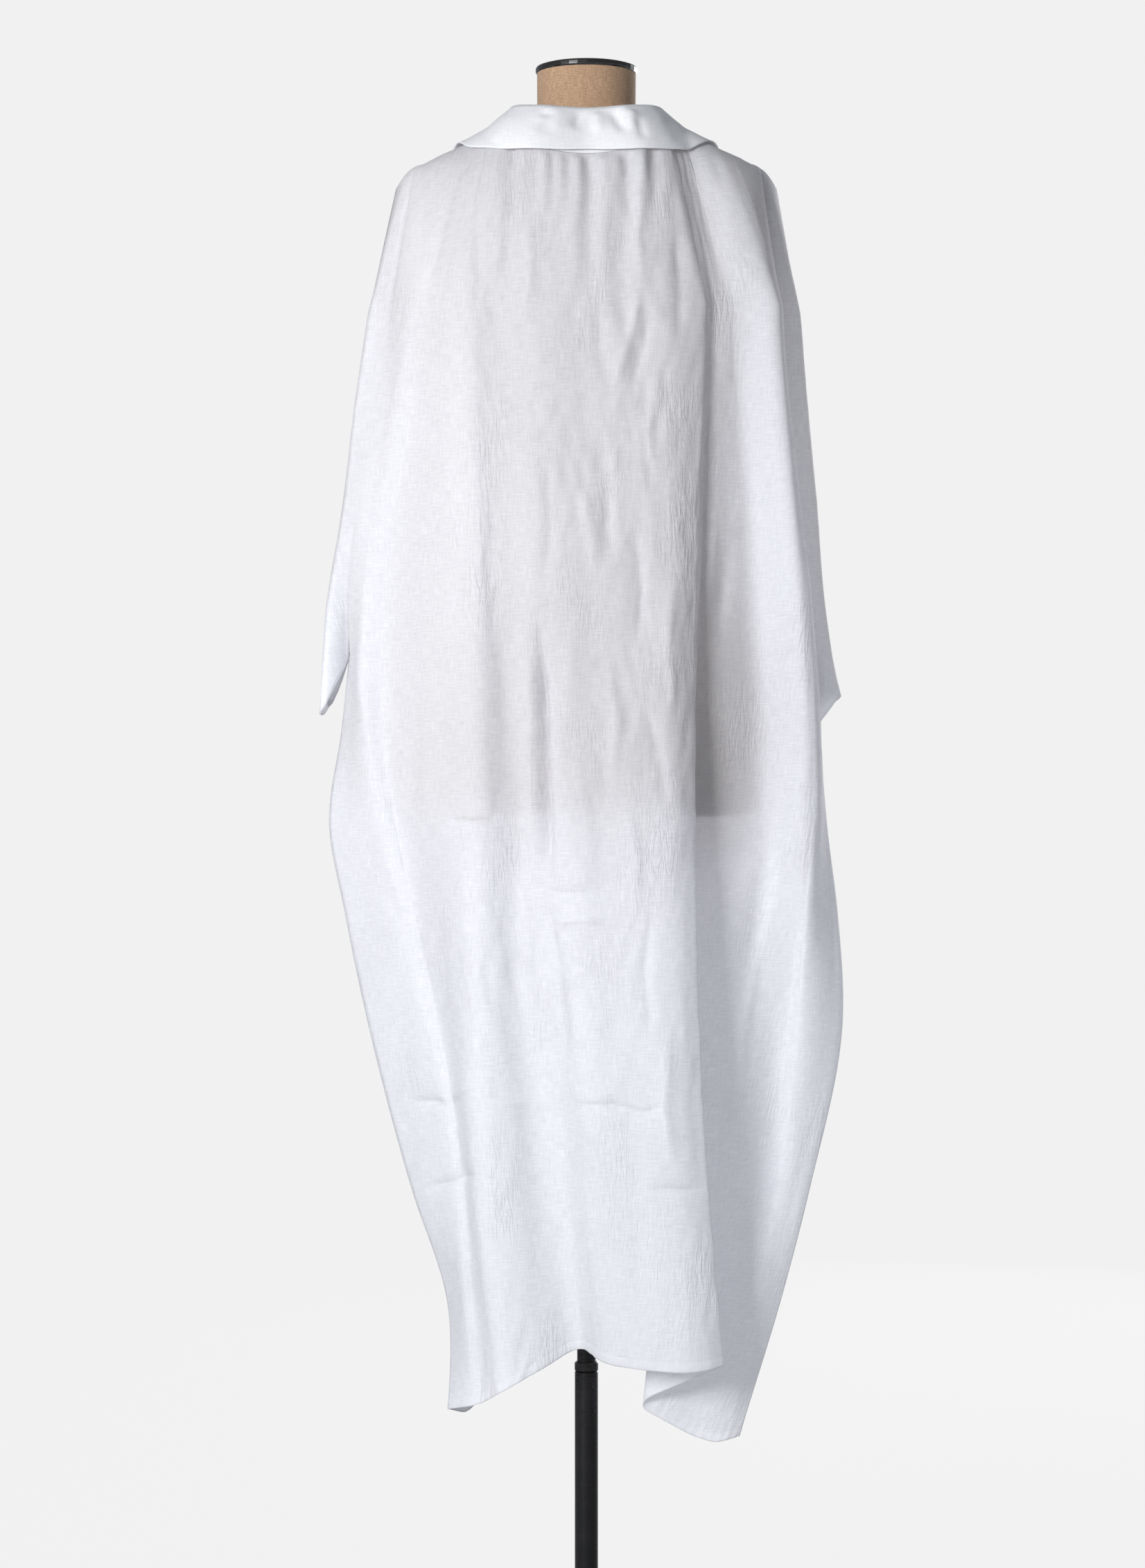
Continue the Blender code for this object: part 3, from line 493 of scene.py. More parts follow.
def neckHeight(side, x):
    # height of the neck's edge inside the shoulder line
    share = min(abs(x) / dress["neckHalf"], 1.0)
    curve = dress["neckCurve"][side]
    dip = (1 - share**2) ** curve if side == "back" else (1 - share) ** curve
    return shoulderLine(dress["neckHalf"]) - dress["neckDrop"][side] * dip


def squareness(x):
    # how squarely the cloth turns over the shoulder, rounder beside the neck
    share = min(abs(x) / dress["squareReach"], 1.0)
    return dress["neckSquare"] + (dress["shoulderSquare"] - dress["neckSquare"]) * share


def clothOut(side, x, z):
    # least distance out that the dress form leaves for the cloth
    beyond = abs(x) >= sectionAt(z, "half")
    if beyond or z > shoulderLine(x) - form["restGap"] * 2:
        return form["seamGap"] / 2
    return float(formAt(side, x, z)) + form["clear"]


def foldPoint(fold, share):
    # a fold's point at a share of the way from the shoulder blade to the hem
    stations = (0.0, dress["hipShare"], dress["kneeShare"], 1.0)
    height = dress["bladeHeight"] + (fold.hem / 1000 - dress["bladeHeight"]) * share
    return np.array([through(stations, fold.across, share) / 1000,
                     through(stations, fold.out, share) / 1000, height])


def edgeAt(table, side, z):
    return through([row.height for row in table], [getattr(row, side) for row in table], z)


def tilt(side, share):
    # lifts or lowers a row towards one side, so that it ends at that side's underarm
    cuff = dress["cuffShare"]
    level = dress["bladeHeight"] + (seamHem[side] - dress["bladeHeight"]) * cuff
    t = share / cuff if share < cuff else (1 - share) / (1 - cuff)
    return (underarm[side] - level) * smooth(t, 0.0, 1.0)


def bend(before, corner, after, softness, count):
    # a fold's rounded corner, between straight runs of cloth
    reach = dress["turnReach"] * softness
    start = corner + (before - corner) * reach
    end = corner + (after - corner) * reach
    t = np.linspace(0, 1, count)[:, None]
    return start * (1 - t) ** 2 + corner * 2 * t * (1 - t) + end * t * t


def rowLine(side, share):
    # a row's fold corners, with both ends, and what its sleeve strips need
    blade = dress["bladeHeight"]
    corners = [foldPoint(fold, share) for fold in folds[side].values()]
    ends = {}
    for name, sign in (("left", 1), ("right", -1)):
        z = blade + (seamHem[name] - blade) * share + tilt(name, share)
        if share <= dress["cuffShare"] + 1e-6:
            t = share / dress["cuffShare"]
            tip = z + (sleeveTip[name] - underarm[name]) * t * t
            edge = edgeAt(overarm, name, tip)
            inner = edge - dress["sleeveFold"]
            inner += (edgeAt(sideSeam, name, underarm[name]) - inner) * t**3
            depth = dress["sleeveDepth"] * (1 - t**4) + form["seamGap"] / 2
            ends[name] = [np.array([sign * inner, depth, z]), np.array([sign * edge, 0.0, tip]), t]
        else:
            inner = edgeAt(sideSeam, name, z)
            ends[name] = [np.array([sign * inner, form["seamGap"] / 2, z]), None, 1.0]
    for corner in corners:
        near = min(abs(corner[0]) / dress["tiltReach"], 1.0)
        corner[2] += near * tilt("left" if corner[0] > 0 else "right", share)
    return [ends["left"][0], *corners, ends["right"][0]], ends


def planSteps(side):
    # how many columns each fold's turn and each run between folds takes, from the hip's row
    line, _ = rowLine(side, dress["hipShare"])
    soft = [fold.softness for fold in folds[side].values()]
    reach = [dress["turnReach"] * s for s in soft]
    lengths = [math.dist(a, b) for a, b in zip(line, line[1:])]
    turns = [max(dress["leastTurn"], round(s * (a + b) / 2 / dress["step"]))
             for s, a, b in zip(soft, lengths, lengths[1:])]
    runs = [max(0, round(length * (1 - a - b) / dress["step"]) - 1)
            for length, a, b in zip(lengths, [0.0, *reach], [*reach, 0.0])]
    return turns, runs


def stripPoints(side, inner, edge, t):
    # the sleeve's outer strip, from the underarm line to the overarm fold
    high, low = dress["overarmLip"]
    lip = edge + np.array([0.0, high + (low - high) * t**3, 0.0])
    middle = (inner + lip) / 2
    corner = bend(middle, lip, edge, dress["lipSoftness"], dress["lipColumns"])
    inside = np.linspace(0, 1, dress["stripColumns"] - dress["lipColumns"] + 1)[1:-1]
    points = np.array([*(inner + (corner[0] - inner) * s for s in inside), *corner, edge])
    places = np.linspace(0, 1, len(points) + 1)[1:]
    lift = np.interp(places, np.linspace(0, 1, len(dress["sleeveLift"])), dress["sleeveLift"])
    points[:, 1] += dress["cuffBulge"][side] * t**3 * lift
    return list(points)


def runTo(points, target, count):
    # evenly spaced points on the straight way to the target, which isn't added itself
    for left in range(count + 1, 1, -1):
        points.append(points[-1] + (target - points[-1]) / left)


def panelRow(side, share, plan):
    # one row of cloth from the wearer's left to right, straight between the folds
    line, ends = rowLine(side, share)
    turns, runs = plan
    points = [line[0]]
    for k, fold in enumerate(folds[side].values()):
        turned = bend(*line[k:k + 3], fold.softness, turns[k])
        runTo(points, turned[0], runs[k])
        points += list(turned)
    runTo(points, line[-1], runs[-1])
    points.append(line[-1])
    if share <= dress["cuffShare"] + 1e-6:
        points = stripPoints(side, *ends["left"])[::-1] + points + stripPoints(side, *ends["right"])
    return points


def shareRows():
    # the rows' places from the shoulder blade to the hem, closer together at the hem
    cuff = dress["cuffShare"]
    long = dress["bladeHeight"] - dress["hemLevel"]
    hem = [1 - d / long for d in dress["hemRows"]][::-1]
    rows = [*np.linspace(0, cuff, dress["sleeveRows"] + 1),
            *np.linspace(cuff, hem[0], dress["skirtRows"] + 1)[1:-1], *hem]
    margin = dress["packMargin"]
    for place in dress["packRows"]:
        close = [place + step for step in dress["packSteps"]]
        rows = [row for row in rows if not close[0] - margin < row < close[-1] + margin] + close
    return sorted(rows)


def shoulderTops(blade):
    # where each column of the shoulder blade's row ends across the shoulder and neck line
    along = lengthsAlong(blade)
    centre = float(np.interp(0.0, [-p[0] for p in blade], along))
    halves = [centre if place < centre else along[-1] - centre for place in along]
    shares = np.array([(centre - place) / reach for place, reach in zip(along, halves)])
    outer = np.abs(shares)
    outer += dress["tipCrowd"] * smooth(outer, *dress["tipCrowdFrom"]) * (1 - outer)
    tops = list(dress["shoulderHalf"] * np.sign(shares) * outer)
    neck, crowd = dress["neckHalf"], dress["neckCrowd"]
    for end in (neck, -neck):
        tops[min(range(len(tops)), key=lambda i: abs(tops[i] - end))] = end
    return [x if abs(x) >= neck else math.copysign(neck * (1 - (1 - abs(x) / neck) ** crowd), x)
            for x in tops]


def calmDepths(blade):
    # the blade row's depths with its folds smoothed out
    reach = max(3, round(dress["capCalm"] / dress["step"]))
    padded = np.pad([point[1] for point in blade], reach, mode="reflect", reflect_type="odd")
    kernel = np.hanning(2 * reach + 1)
    return np.convolve(padded, kernel / kernel.sum(), "valid")


def capColumn(side, foot, top, calm):
    # one column from the shoulder or neck line down to the shoulder blade
    low = dress["bladeHeight"]
    zTop = shoulderLine(top)
    zStart = neckHeight(side, top) if abs(top) < dress["neckHalf"] else zTop
    power = squareness(top)
    start = math.acos(min(1.0, (zStart - low) / (zTop - low)) ** (power / 2))
    column = []
    for j in range(dress["capRows"]):
        angle = start + (math.pi / 2 - start) * (j / dress["capRows"]) ** dress["capCrowd"]
        z = low + (zTop - low) * math.cos(angle) ** (2 / power)
        still = float(smooth(z, low, dress["capCalmTop"]))
        inner = abs(foot[0]) < dress["capCalmTo"]
        depth = foot[1] + (calm - foot[1]) * still if inner else foot[1]
        out = depth * math.sin(angle) ** (2 / power)
        x = top + (foot[0] - top) * (zStart - z) / (zStart - low)
        column.append(np.array([x, max(out, clothOut(side, x, z)), z]))
    return column


def panelGrid(side):
    # rows of points on the cloth's inner face; rows below the sleeves leave out their strips
    plan = planSteps(side)
    blade = panelRow(side, 0.0, plan)
    columns = [capColumn(side, foot, top, calm)
               for foot, top, calm in zip(blade, shoulderTops(blade), calmDepths(blade))]
    rows = [list(row) for row in zip(*columns)]
    rows += [panelRow(side, share, plan) for share in shareRows()]
    longest = len(blade)
    grid = np.full((len(rows), longest, 3), np.nan)
    for j, row in enumerate(rows):
        skip = (longest - len(row)) // 2
        grid[j, skip:skip + len(row)] = row
    grid[:, :, 1] = np.maximum(grid[:, :, 1], form["seamGap"] / 2)
    if side == "front":
        grid[:, :, 1] *= -1
    return grid


def gridNormals(grid, way):
    # normals of a grid with gaps, from its neighbours both ways, on the side that the way points to
    padded = np.pad(grid, ((1, 1), (1, 1), (0, 0)), constant_values=np.nan)

    def step(ahead, behind):
        ahead, behind = (np.where(np.isnan(part), grid, part) for part in (ahead, behind))
        return ahead - behind

    across = step(padded[1:-1, 2:], padded[1:-1, :-2])
    down = step(padded[2:, 1:-1], padded[:-2, 1:-1])
    normal = np.cross(across, down)
    size = np.linalg.norm(normal, axis=2, keepdims=True)
    normal = normal / np.where(size > 1e-12, size, 1)
    return -normal if np.nansum(normal * way) < 0 else normal


# creases and wrinkles
# Each crease follows points of (across, height), and has a width, a depth and for some a kind. All
# are in millimetres, and a positive depth stands out from the cloth.
Crease = namedtuple("Crease", "line width depth kind", defaults=("soft",))
backCreases = [Crease(*row) for row in (
    # wearer's left sleeve
    ([(206, 1600), (236, 1400), (258, 1272), (268, 1157), (276, 1060)], 9, -2.2),
    ([(180, 1560), (214, 1400), (238, 1250), (250, 1140)], 13, 2.0),
    ([(195, 1527), (214, 1390), (228, 1272), (241, 1141)], 11, -3.2),
    ([(262, 1160), (244, 1110), (228, 1010), (200, 890), (171, 804)], 6, 3.2, "crisp"),
    ([(240, 1075), (222, 990), (196, 900)], 12, -2.6),
    ([(168, 806), (184, 794), (202, 778)], 4.5, -1.8, "crisp"),
    ([(232, 905), (205, 842), (172, 770), (158, 700)], 8, -2.2),
    # wearer's right sleeve
    ([(-196, 1545), (-214, 1420), (-226, 1290), (-236, 1180)], 12, -2.6),
    ([(-176, 1570), (-192, 1420), (-206, 1280), (-218, 1150)], 12, 1.9),
    ([(-138, 1275), (-131, 1212), (-120, 1146)], 6, 2.4, "crisp"),
    ([(-150, 1240), (-143, 1170), (-136, 1120)], 8, -1.8),
    ([(-244, 1040), (-226, 976), (-196, 853), (-168, 705), (-161, 560)], 6, 2.6, "crisp"),
    ([(-224, 1020), (-205, 930), (-180, 830), (-160, 720)], 10, -2.0),
    # shoulders
    ([(126, 1634), (125, 1600), (122, 1550)], 8, 1.5),
    ([(93, 1640), (91, 1600), (90, 1552)], 8, 1.6),
    ([(61, 1648), (60, 1600), (63, 1548)], 7, -1.4),
    ([(-103, 1650), (-112, 1622), (-124, 1594)], 4.5, 1.1, "crisp"),
    ([(-134, 1642), (-139, 1625), (-143, 1610)], 6, -1.5),
    ([(-142, 1594), (-139, 1575), (-138, 1560)], 6, -1.3),
    # the deep crease beside the centre, and the cloth it pushes up
    ([(50, 1160), (47, 1060), (45, 976), (39, 850)], 4.8, -17.0, "crisp"),
    ([(61, 1150), (58, 1050), (57, 960), (51, 850)], 8, 5.5),
    # long and soft ones down the middle
    ([(6, 1590), (10, 1480), (4, 1340), (8, 1220)], 12, -1.3),
    ([(-30, 1530), (-26, 1400), (-32, 1250), (-28, 1120)], 13, 1.3),
    ([(-72, 1500), (-74, 1360), (-80, 1200), (-82, 1040)], 14, -1.5),
    ([(88, 1500), (78, 1380), (76, 1240), (64, 1110)], 13, -1.6),
    ([(24, 1330), (28, 1200), (18, 1090), (16, 960)], 11, 1.2),
    ([(-8, 1100), (-14, 960), (-22, 800), (-30, 640)], 13, -1.5),
    ([(-60, 1010), (-66, 860), (-76, 700), (-84, 540)], 12, 1.3),
    ([(-40, 700), (-50, 580), (-56, 470), (-60, 392)], 11, -1.5),
    ([(10, 760), (0, 640), (-6, 520), (-14, 400)], 12, 1.4),
    # the step on the left, below the hip
    ([(128, 980), (116, 830), (112, 700), (106, 560), (96, 400)], 15, 3.8),
    ([(80, 980), (74, 830), (66, 700), (52, 560), (34, 400)], 16, -5.5),
    ([(138, 740), (124, 610), (110, 480), (98, 380)], 9, 1.7),
    # short pulls, from the neck down
    ([(-20, 1598), (-36, 1530), (-40, 1470), (-36, 1430)], 13, -3.6),
    ([(-58, 1500), (-44, 1440), (-26, 1380)], 4.2, 4.3, "crisp"),
    ([(-66, 1470), (-56, 1420), (-46, 1382)], 5.8, -3.5, "crisp"),
    ([(-8, 1490), (-14, 1430), (-28, 1372)], 5.2, -3.8, "crisp"),
    ([(120, 1612), (119, 1560), (112, 1500), (104, 1470)], 4.6, -4.5, "crisp"),
    ([(88, 1556), (92, 1530), (98, 1508)], 4.6, 3.8, "crisp"),
    ([(64, 1570), (58, 1520), (60, 1470)], 4.6, 3.3, "crisp"),
    ([(-92, 1560), (-98, 1500), (-94, 1440)], 5.2, -4.1, "crisp"),
    ([(-78, 1420), (-66, 1350), (-70, 1290)], 4.6, 3.5, "crisp"),
    ([(-12, 1350), (-22, 1290), (-20, 1240), (-30, 1200)], 4.8, -4.5, "crisp"),
    ([(10, 1300), (-4, 1250), (-8, 1190)], 4.8, 4.1, "crisp"),
    ([(44, 1320), (38, 1250), (44, 1180)], 5.2, -3.8, "crisp"),
    ([(-50, 1250), (-58, 1180), (-52, 1110)], 4.8, -3.8, "crisp"),
    ([(-90, 1200), (-84, 1120), (-90, 1040)], 4.8, 3.8, "crisp"),
    ([(-20, 1110), (-32, 1040), (-26, 970)], 4.8, 3.5, "crisp"),
    ([(-60, 1060), (-74, 1010), (-84, 950)], 4.8, -4.1, "crisp"),
    ([(-40, 960), (-52, 900), (-50, 830)], 4.8, 3.5, "crisp"),
    ([(40, 880), (34, 800), (24, 720), (22, 640)], 5.4, -4.8, "crisp"),
    ([(66, 900), (62, 800), (50, 690)], 5.6, 4.8, "crisp"),
    ([(-70, 860), (-60, 780), (-68, 700)], 4.8, -3.5, "crisp"),
    ([(-86, 720), (-80, 640), (-90, 570)], 4.8, 3.3, "crisp"),
    # wide troughs that flatten the right ridge below the hip
    ([(-210, 980), (-204, 820), (-188, 650), (-172, 460)], 23, -11.0),
    ([(-236, 960), (-226, 775), (-212, 640), (-182, 480), (-166, 400)], 27, -18.0),
    # left by being folded flat
    ([(150, 937), (118, 936), (86, 935)], 3.0, -4.0, "crisp"),
    ([(50, 861), (12, 862), (-30, 860)], 3.0, -3.0, "crisp"),
    ([(42, 831), (0, 833), (-46, 832)], 3.0, 2.8, "crisp"),
    ([(190, 634), (168, 636), (144, 635)], 3.2, -4.4, "crisp"),
    ([(143, 638), (130, 650), (115, 663)], 3.4, 4.0, "crisp"),
    ([(173, 540), (140, 552), (108, 566)], 3.4, -5.0, "crisp"),
    ([(26, 638), (-28, 640), (-60, 632), (-92, 641)], 3.2, -4.0, "crisp"),
    ([(96, 640), (60, 637), (28, 641)], 3.2, 2.8, "crisp"),
    ([(-64, 552), (-96, 551), (-124, 549)], 3.2, -3.8, "crisp"),
)]
frontCreases = [Crease(*row) for row in (
    # from the neck
    ([(30, 1566), (52, 1520), (84, 1450), (96, 1340)], 12, -2.2),
    ([(-24, 1560), (-50, 1500), (-74, 1420), (-92, 1300)], 12, 2.0),
    # middle and bust
    ([(4, 1540), (-4, 1400), (6, 1240), (-2, 1050)], 13, -2.0),
    ([(148, 1520), (128, 1430), (116, 1320), (112, 1180)], 12, 1.8),
    ([(-150, 1500), (-134, 1400), (-120, 1290), (-124, 1130)], 12, -2.2),
    # sleeves
    ([(196, 1540), (218, 1400), (234, 1270), (246, 1140)], 12, -3.0),
    ([(-192, 1530), (-208, 1400), (-226, 1260), (-240, 1120)], 12, -2.8),
    # skirt
    ([(60, 1040), (54, 880), (46, 700), (34, 520)], 12, 1.8),
    ([(-66, 1080), (-70, 900), (-60, 720), (-58, 560)], 12, -2.0),
    ([(120, 900), (110, 740), (96, 600), (90, 430)], 10, -1.8),
    ([(-140, 940), (-128, 800), (-112, 640), (-104, 460)], 10, 1.9),
    # left by being folded flat
    ([(90, 936), (40, 932), (-10, 934)], 3.6, -1.0, "crisp"),
    ([(-20, 846), (-60, 842), (-104, 846)], 3.6, 1.0, "crisp"),
    ([(70, 640), (20, 636), (-40, 640)], 3.6, -1.1, "crisp"),
)]

# Gathers sewn into the neck seam: across at the seam and at the end, length, width and depth, in
# millimetres.
Gather = namedtuple("Gather", "across end length width depth")
backGathers = [Gather(*row) for row in (
    (107, 112, 90, 7.0, 2.0), (92, 95, 130, 8.0, 2.6), (78, 80, 100, 6.0, -2.2), (66, 67, 150, 6.5, 2.0),
    (54, 55, 100, 5.5, -2.6), (44, 45, 80, 5.0, 3.0), (36, 37, 120, 5.0, -2.4), (28, 29, 80, 5.0, 3.2),
    (19, 18, 70, 5.0, -3.4), (10, 11, 170, 7.0, 4.4), (-3, -4, 180, 7.0, -5.6), (-17, -20, 160, 8.0, 4.6),
    (-30, -33, 70, 5.0, 1.8), (-43, -44, 140, 7.0, -6.2), (-58, -51, 170, 6.0, 5.6),
    (-69, -73, 90, 6.0, -3.6), (-80, -84, 120, 6.0, 2.2), (-90, -95, 70, 5.0, -1.0),
)]
frontGathers = [Gather(*row) for row in (
    (82, 90, 80, 7.0, 1.6), (60, 66, 60, 6.0, -1.6), (36, 42, 90, 6.0, 1.8), (-30, -38, 70, 6.0, -1.8),
    (-54, -62, 95, 6.5, 1.7), (-78, -86, 60, 6.5, -1.5),
)]
wrinkles = {
    "creaseFade": 0.3,       # share of its length that a crease takes to fade at each end
    "crispCore": 0.25,       # rounded share of a crisp crease's width
    "gatherStart": 0.012, "gatherWidening": 0.9, "gatherFade": 0.8,
    "hang": {"across": 0.032, "down": 0.230, "depth": 0.0016, "lean": 0.0},     # long soft ones
    "crumple": {"across": 0.019, "down": 0.125, "depth": 0.0030, "lean": 0.22},
    "crinkle": {"across": 0.0125, "down": 0.050, "depth": 0.0011, "lean": 0.36},
    "drift": (3.1, 2.3, 1.6),     # how often the wrinkles wander, across and down, and how far
    "patches": (8, 5, 0.6, 0.9),  # how often they grow and fade, across and down, their mean and range
    "apart": (0.5, 7.0, 11.0, 40),  # keeps the noises for drift, both leans and patches from matching
    "crumpleLevel": 0.35, "crumpleSlope": 1.5,
    "middle": (0.115, 0.175, 0.35),   # crumpled to here, calm from here, and the share left there
    "clearForm": 0.0012,
    "edgeCalm": 0.012,       # no wrinkles within this distance of the sewn edges
    "sideCalm": (0.002, 0.012),   # nor where back and front come this close
    "edgeShare": 0.62,       # of the thickness, kept between each panel and the seams' plane
    "formEnd": 0.93, "formReach": 0.02,   # where to look for the dress form: from this height, this near
    "underCollar": 0.0016,   # most that the cloth stands out under the collar
    "collarHeight": (1.630, 1.650), "collarReach": (0.13, 0.16),
    "hemDepth": 0.0100, "hemRise": 0.0004, "hemEdge": 0.0008, "stitchSink": 0.0005, "stitchWidth": 0.0009,
    "pucker": 0.00022, "puckerStep": 0.011, "puckerUneven": (3, 31), "puckerReach": (0.01, 0.03),
}


def creaseField(x, z, creases):
    # how far the creases stand out at the points x, z
    total = np.zeros(x.shape)
    for crease in creases:
        line = np.array(crease.line, float) / 1000
        width, depth = crease.width / 1000, crease.depth / 1000
        steps = line[1:] - line[:-1]
        lengths = np.linalg.norm(steps, axis=1)
        ends = np.concatenate([[0.0], np.cumsum(lengths)])
        near = np.full(x.shape, np.inf)
        place = np.zeros(x.shape)
        for a, step, length, start in zip(line, steps, lengths, ends):
            t = np.clip(((x - a[0]) * step[0] + (z - a[1]) * step[1]) / length**2, 0, 1)
            away = np.hypot(x - a[0] - t * step[0], z - a[1] - t * step[1])
            closer = away < near
            near = np.where(closer, away, near)
            place = np.where(closer, start + t * length, place)
        whole = ends[-1]
        end = wrinkles["creaseFade"] * whole
        fade = smooth(place, 0, end) * smooth(whole - place, 0, end)
        if crease.kind == "crisp":
            core = wrinkles["crispCore"] * width
            profile = np.exp(-(np.sqrt(near**2 + core**2) - core) / width)
        else:
            profile = np.exp(-((near / width) ** 2))
        total += depth * fade * profile
    return total


def gatherField(x, down, gathers):
    # how far the gathers stand out at a distance down from the neck seam
    total = np.zeros(x.shape)
    for gather in gathers:
        length, width = gather.length / 1000, gather.width / 1000
        share = np.clip(down / length, 0, 1)
        middle = (gather.across + (gather.end - gather.across) * share) / 1000
        spread = width * (1 + wrinkles["gatherWidening"] * share)
        depth = gather.depth / 1000 * smooth(down, 0.0, wrinkles["gatherStart"])
        total += depth * (1 - share) ** wrinkles["gatherFade"] * np.exp(-(((x - middle) / spread) ** 2))
    return total


def wrinkleField(u, v, shift):
    # uneven wrinkles in the cloth's own lengths across and down; the small ones lean both ways
    total = np.zeros(u.shape)
    flat = list(zip(u.ravel(), v.ravel()))
    near, far, left = wrinkles["middle"]
    calmer = 1 - (1 - left) * smooth(np.abs(u), near, far)
    wanderAcross, wanderDown, wander = wrinkles["drift"]
    patchAcross, patchDown, mean, spread = wrinkles["patches"]
    level, slope = wrinkles["crumpleLevel"], wrinkles["crumpleSlope"]
    forDrift, forOne, forTwo, forPatch = wrinkles["apart"]
    for k, name in enumerate(("hang", "crumple", "crinkle")):
        kind = wrinkles[name]
        across, down = 1 / kind["across"], 1 / kind["down"]
        values = []
        for a, b in flat:
            drift = noise.noise((a * wanderAcross, b * wanderDown, shift + k + forDrift))
            drift = drift * kind["across"] * wander
            if name == "hang":
                values.append(noise.noise(((a + drift) * across, b * down, shift)))
                continue
            one = noise.noise(((a + drift + kind["lean"] * b) * across, b * down, shift + k * forOne))
            two = noise.noise(((a + drift - kind["lean"] * b) * across, b * down, shift + k * forTwo))
            values.append(level - slope * min(abs(one), abs(two)) if name == "crumple" else one + two)
        patch = [mean + spread * noise.noise((a * patchAcross, b * patchDown, shift + forPatch + k))
                 for a, b in flat]
        field = kind["depth"] * (np.array(values) * np.array(patch)).reshape(u.shape)
        total += field if name == "hang" else field * calmer
    return total


# building sheets
def lengthsOf(grid):
    # lengths across from each row's middle, down from the first row and up from the last
    def along(axis):
        steps = np.nan_to_num(np.linalg.norm(np.diff(grid, axis=axis), axis=2))
        return np.insert(np.cumsum(steps, axis=axis), 0, 0.0, axis=axis)

    across, down = along(1), along(0)
    for row, part in zip(grid, across):
        there = ~np.isnan(row[:, 0])
        part -= np.interp(0.0, -row[there, 0], part[there])
    return across, down, down[-1] - down


def mapsOf(across, down, hem):
    return {"grain": np.stack([across, down], axis=2), "hem": np.stack([across, hem], axis=2)}


def gridFaces(rows, columns, start=0, closed=False):
    # four-sided faces between neighbouring points; a closed grid joins its two sides
    faces = []
    for j in range(rows - 1):
        for i in range(columns if closed else columns - 1):
            a, b = start + j * columns + i, start + j * columns + (i + 1) % columns
            faces.append((a, b, b + columns, a + columns))
    return faces


def addSheet(name, grid, normal, maps, material, thickness, clingShade=None):
    # a piece of cloth from a grid with gaps, thickened to both sides
    there = ~np.isnan(grid[:, :, 0])
    index = np.cumsum(there).reshape(there.shape) - 1
    whole = there[:-1, :-1] & there[:-1, 1:] & there[1:, 1:] & there[1:, :-1]
    j, i = np.nonzero(whole)
    corners = [(j, i), (j, i + 1), (j + 1, i + 1), (j + 1, i)]
    a, b, c = (grid[corner] for corner in corners[:3])
    face = np.cross(b - a, c - b)
    if np.sum(face * normal[corners[0]]) < 0:
        corners = corners[::-1]
    faces = np.stack([index[corner] for corner in corners], axis=1)
    mesh = bpy.data.meshes.new(name)
    mesh.from_pydata(grid[there].tolist(), [], faces.tolist())
    order = np.stack([j0 * grid.shape[1] + i0 for j0, i0 in corners], axis=1).ravel()
    for title, values in maps.items():
        layer = mesh.uv_layers.new(name=title)
        layer.data.foreach_set("uv", values.reshape(-1, 2)[order].astype(np.float32).ravel())
    # the mask for the painted shade by the form's right hip, kept for the material
    if clingShade is not None:
        mesh.attributes.new("clingShade", "FLOAT", "POINT").data.foreach_set(
            "value", clingShade[there].astype(np.float32))
    mesh.shade_smooth()
    mesh.materials.append(material)
    piece = addThing(name, mesh)
    shell = piece.modifiers.new("shell", "SOLIDIFY")
    shell.thickness = thickness
    shell.offset = 0
    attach(piece, "form")
    return piece


def sayMeasures(title, grid):
    # area of one layer, and the longest row and column, in metres
    a, b, c, d = grid[:-1, :-1], grid[:-1, 1:], grid[1:, 1:], grid[1:, :-1]
    area = np.nansum(np.linalg.norm(np.cross(c - a, d - b), axis=2)) / 2
    across, down, _ = lengthsOf(grid)
    row = max(part[-1] - part[0] for part in across)
    print(f"{title}: area {area:.4f}, longest row {row:.4f}, longest column {np.nanmax(down):.4f}")


# the dress form's cover
cover = {
    "segments": 150, "between": 4, "seamDepth": 0.0006, "seamWidth": 0.0022,
    "ripple": 0.0003, "rippleMean": 0.6, "ripples": (60, 60, 25),
    "mapRadius": 0.12, "mapFrom": -0.3,   # how the linen is laid round the form
    "sharpTurn": 50,     # degrees
}


def coverRings():
    # closed rings round the dress form, from its lower edge up
    heights = []
    for low, high in zip(sectionHeights, sectionHeights[1:]):
        heights += list(np.linspace(low, high, cover["between"] + 1)[:-1])
    angle = np.linspace(0, 2 * math.pi, cover["segments"] + 1)
    c, s = np.cos(angle), np.sin(angle)
    rings = []
    for z in [*heights, sectionHeights[-1]]:
        power = 2 / sectionAt(z, "square")
        depth = np.where(s > 0, sectionAt(z, "back"), sectionAt(z, "front"))
        x = sectionAt(z, "half") * np.sign(c) * np.abs(c) ** power
        y = depth * np.sign(s) * np.abs(s) ** power
        rings.append(np.stack([x, y, np.full(x.shape, z)], axis=1))
    return np.array(rings)


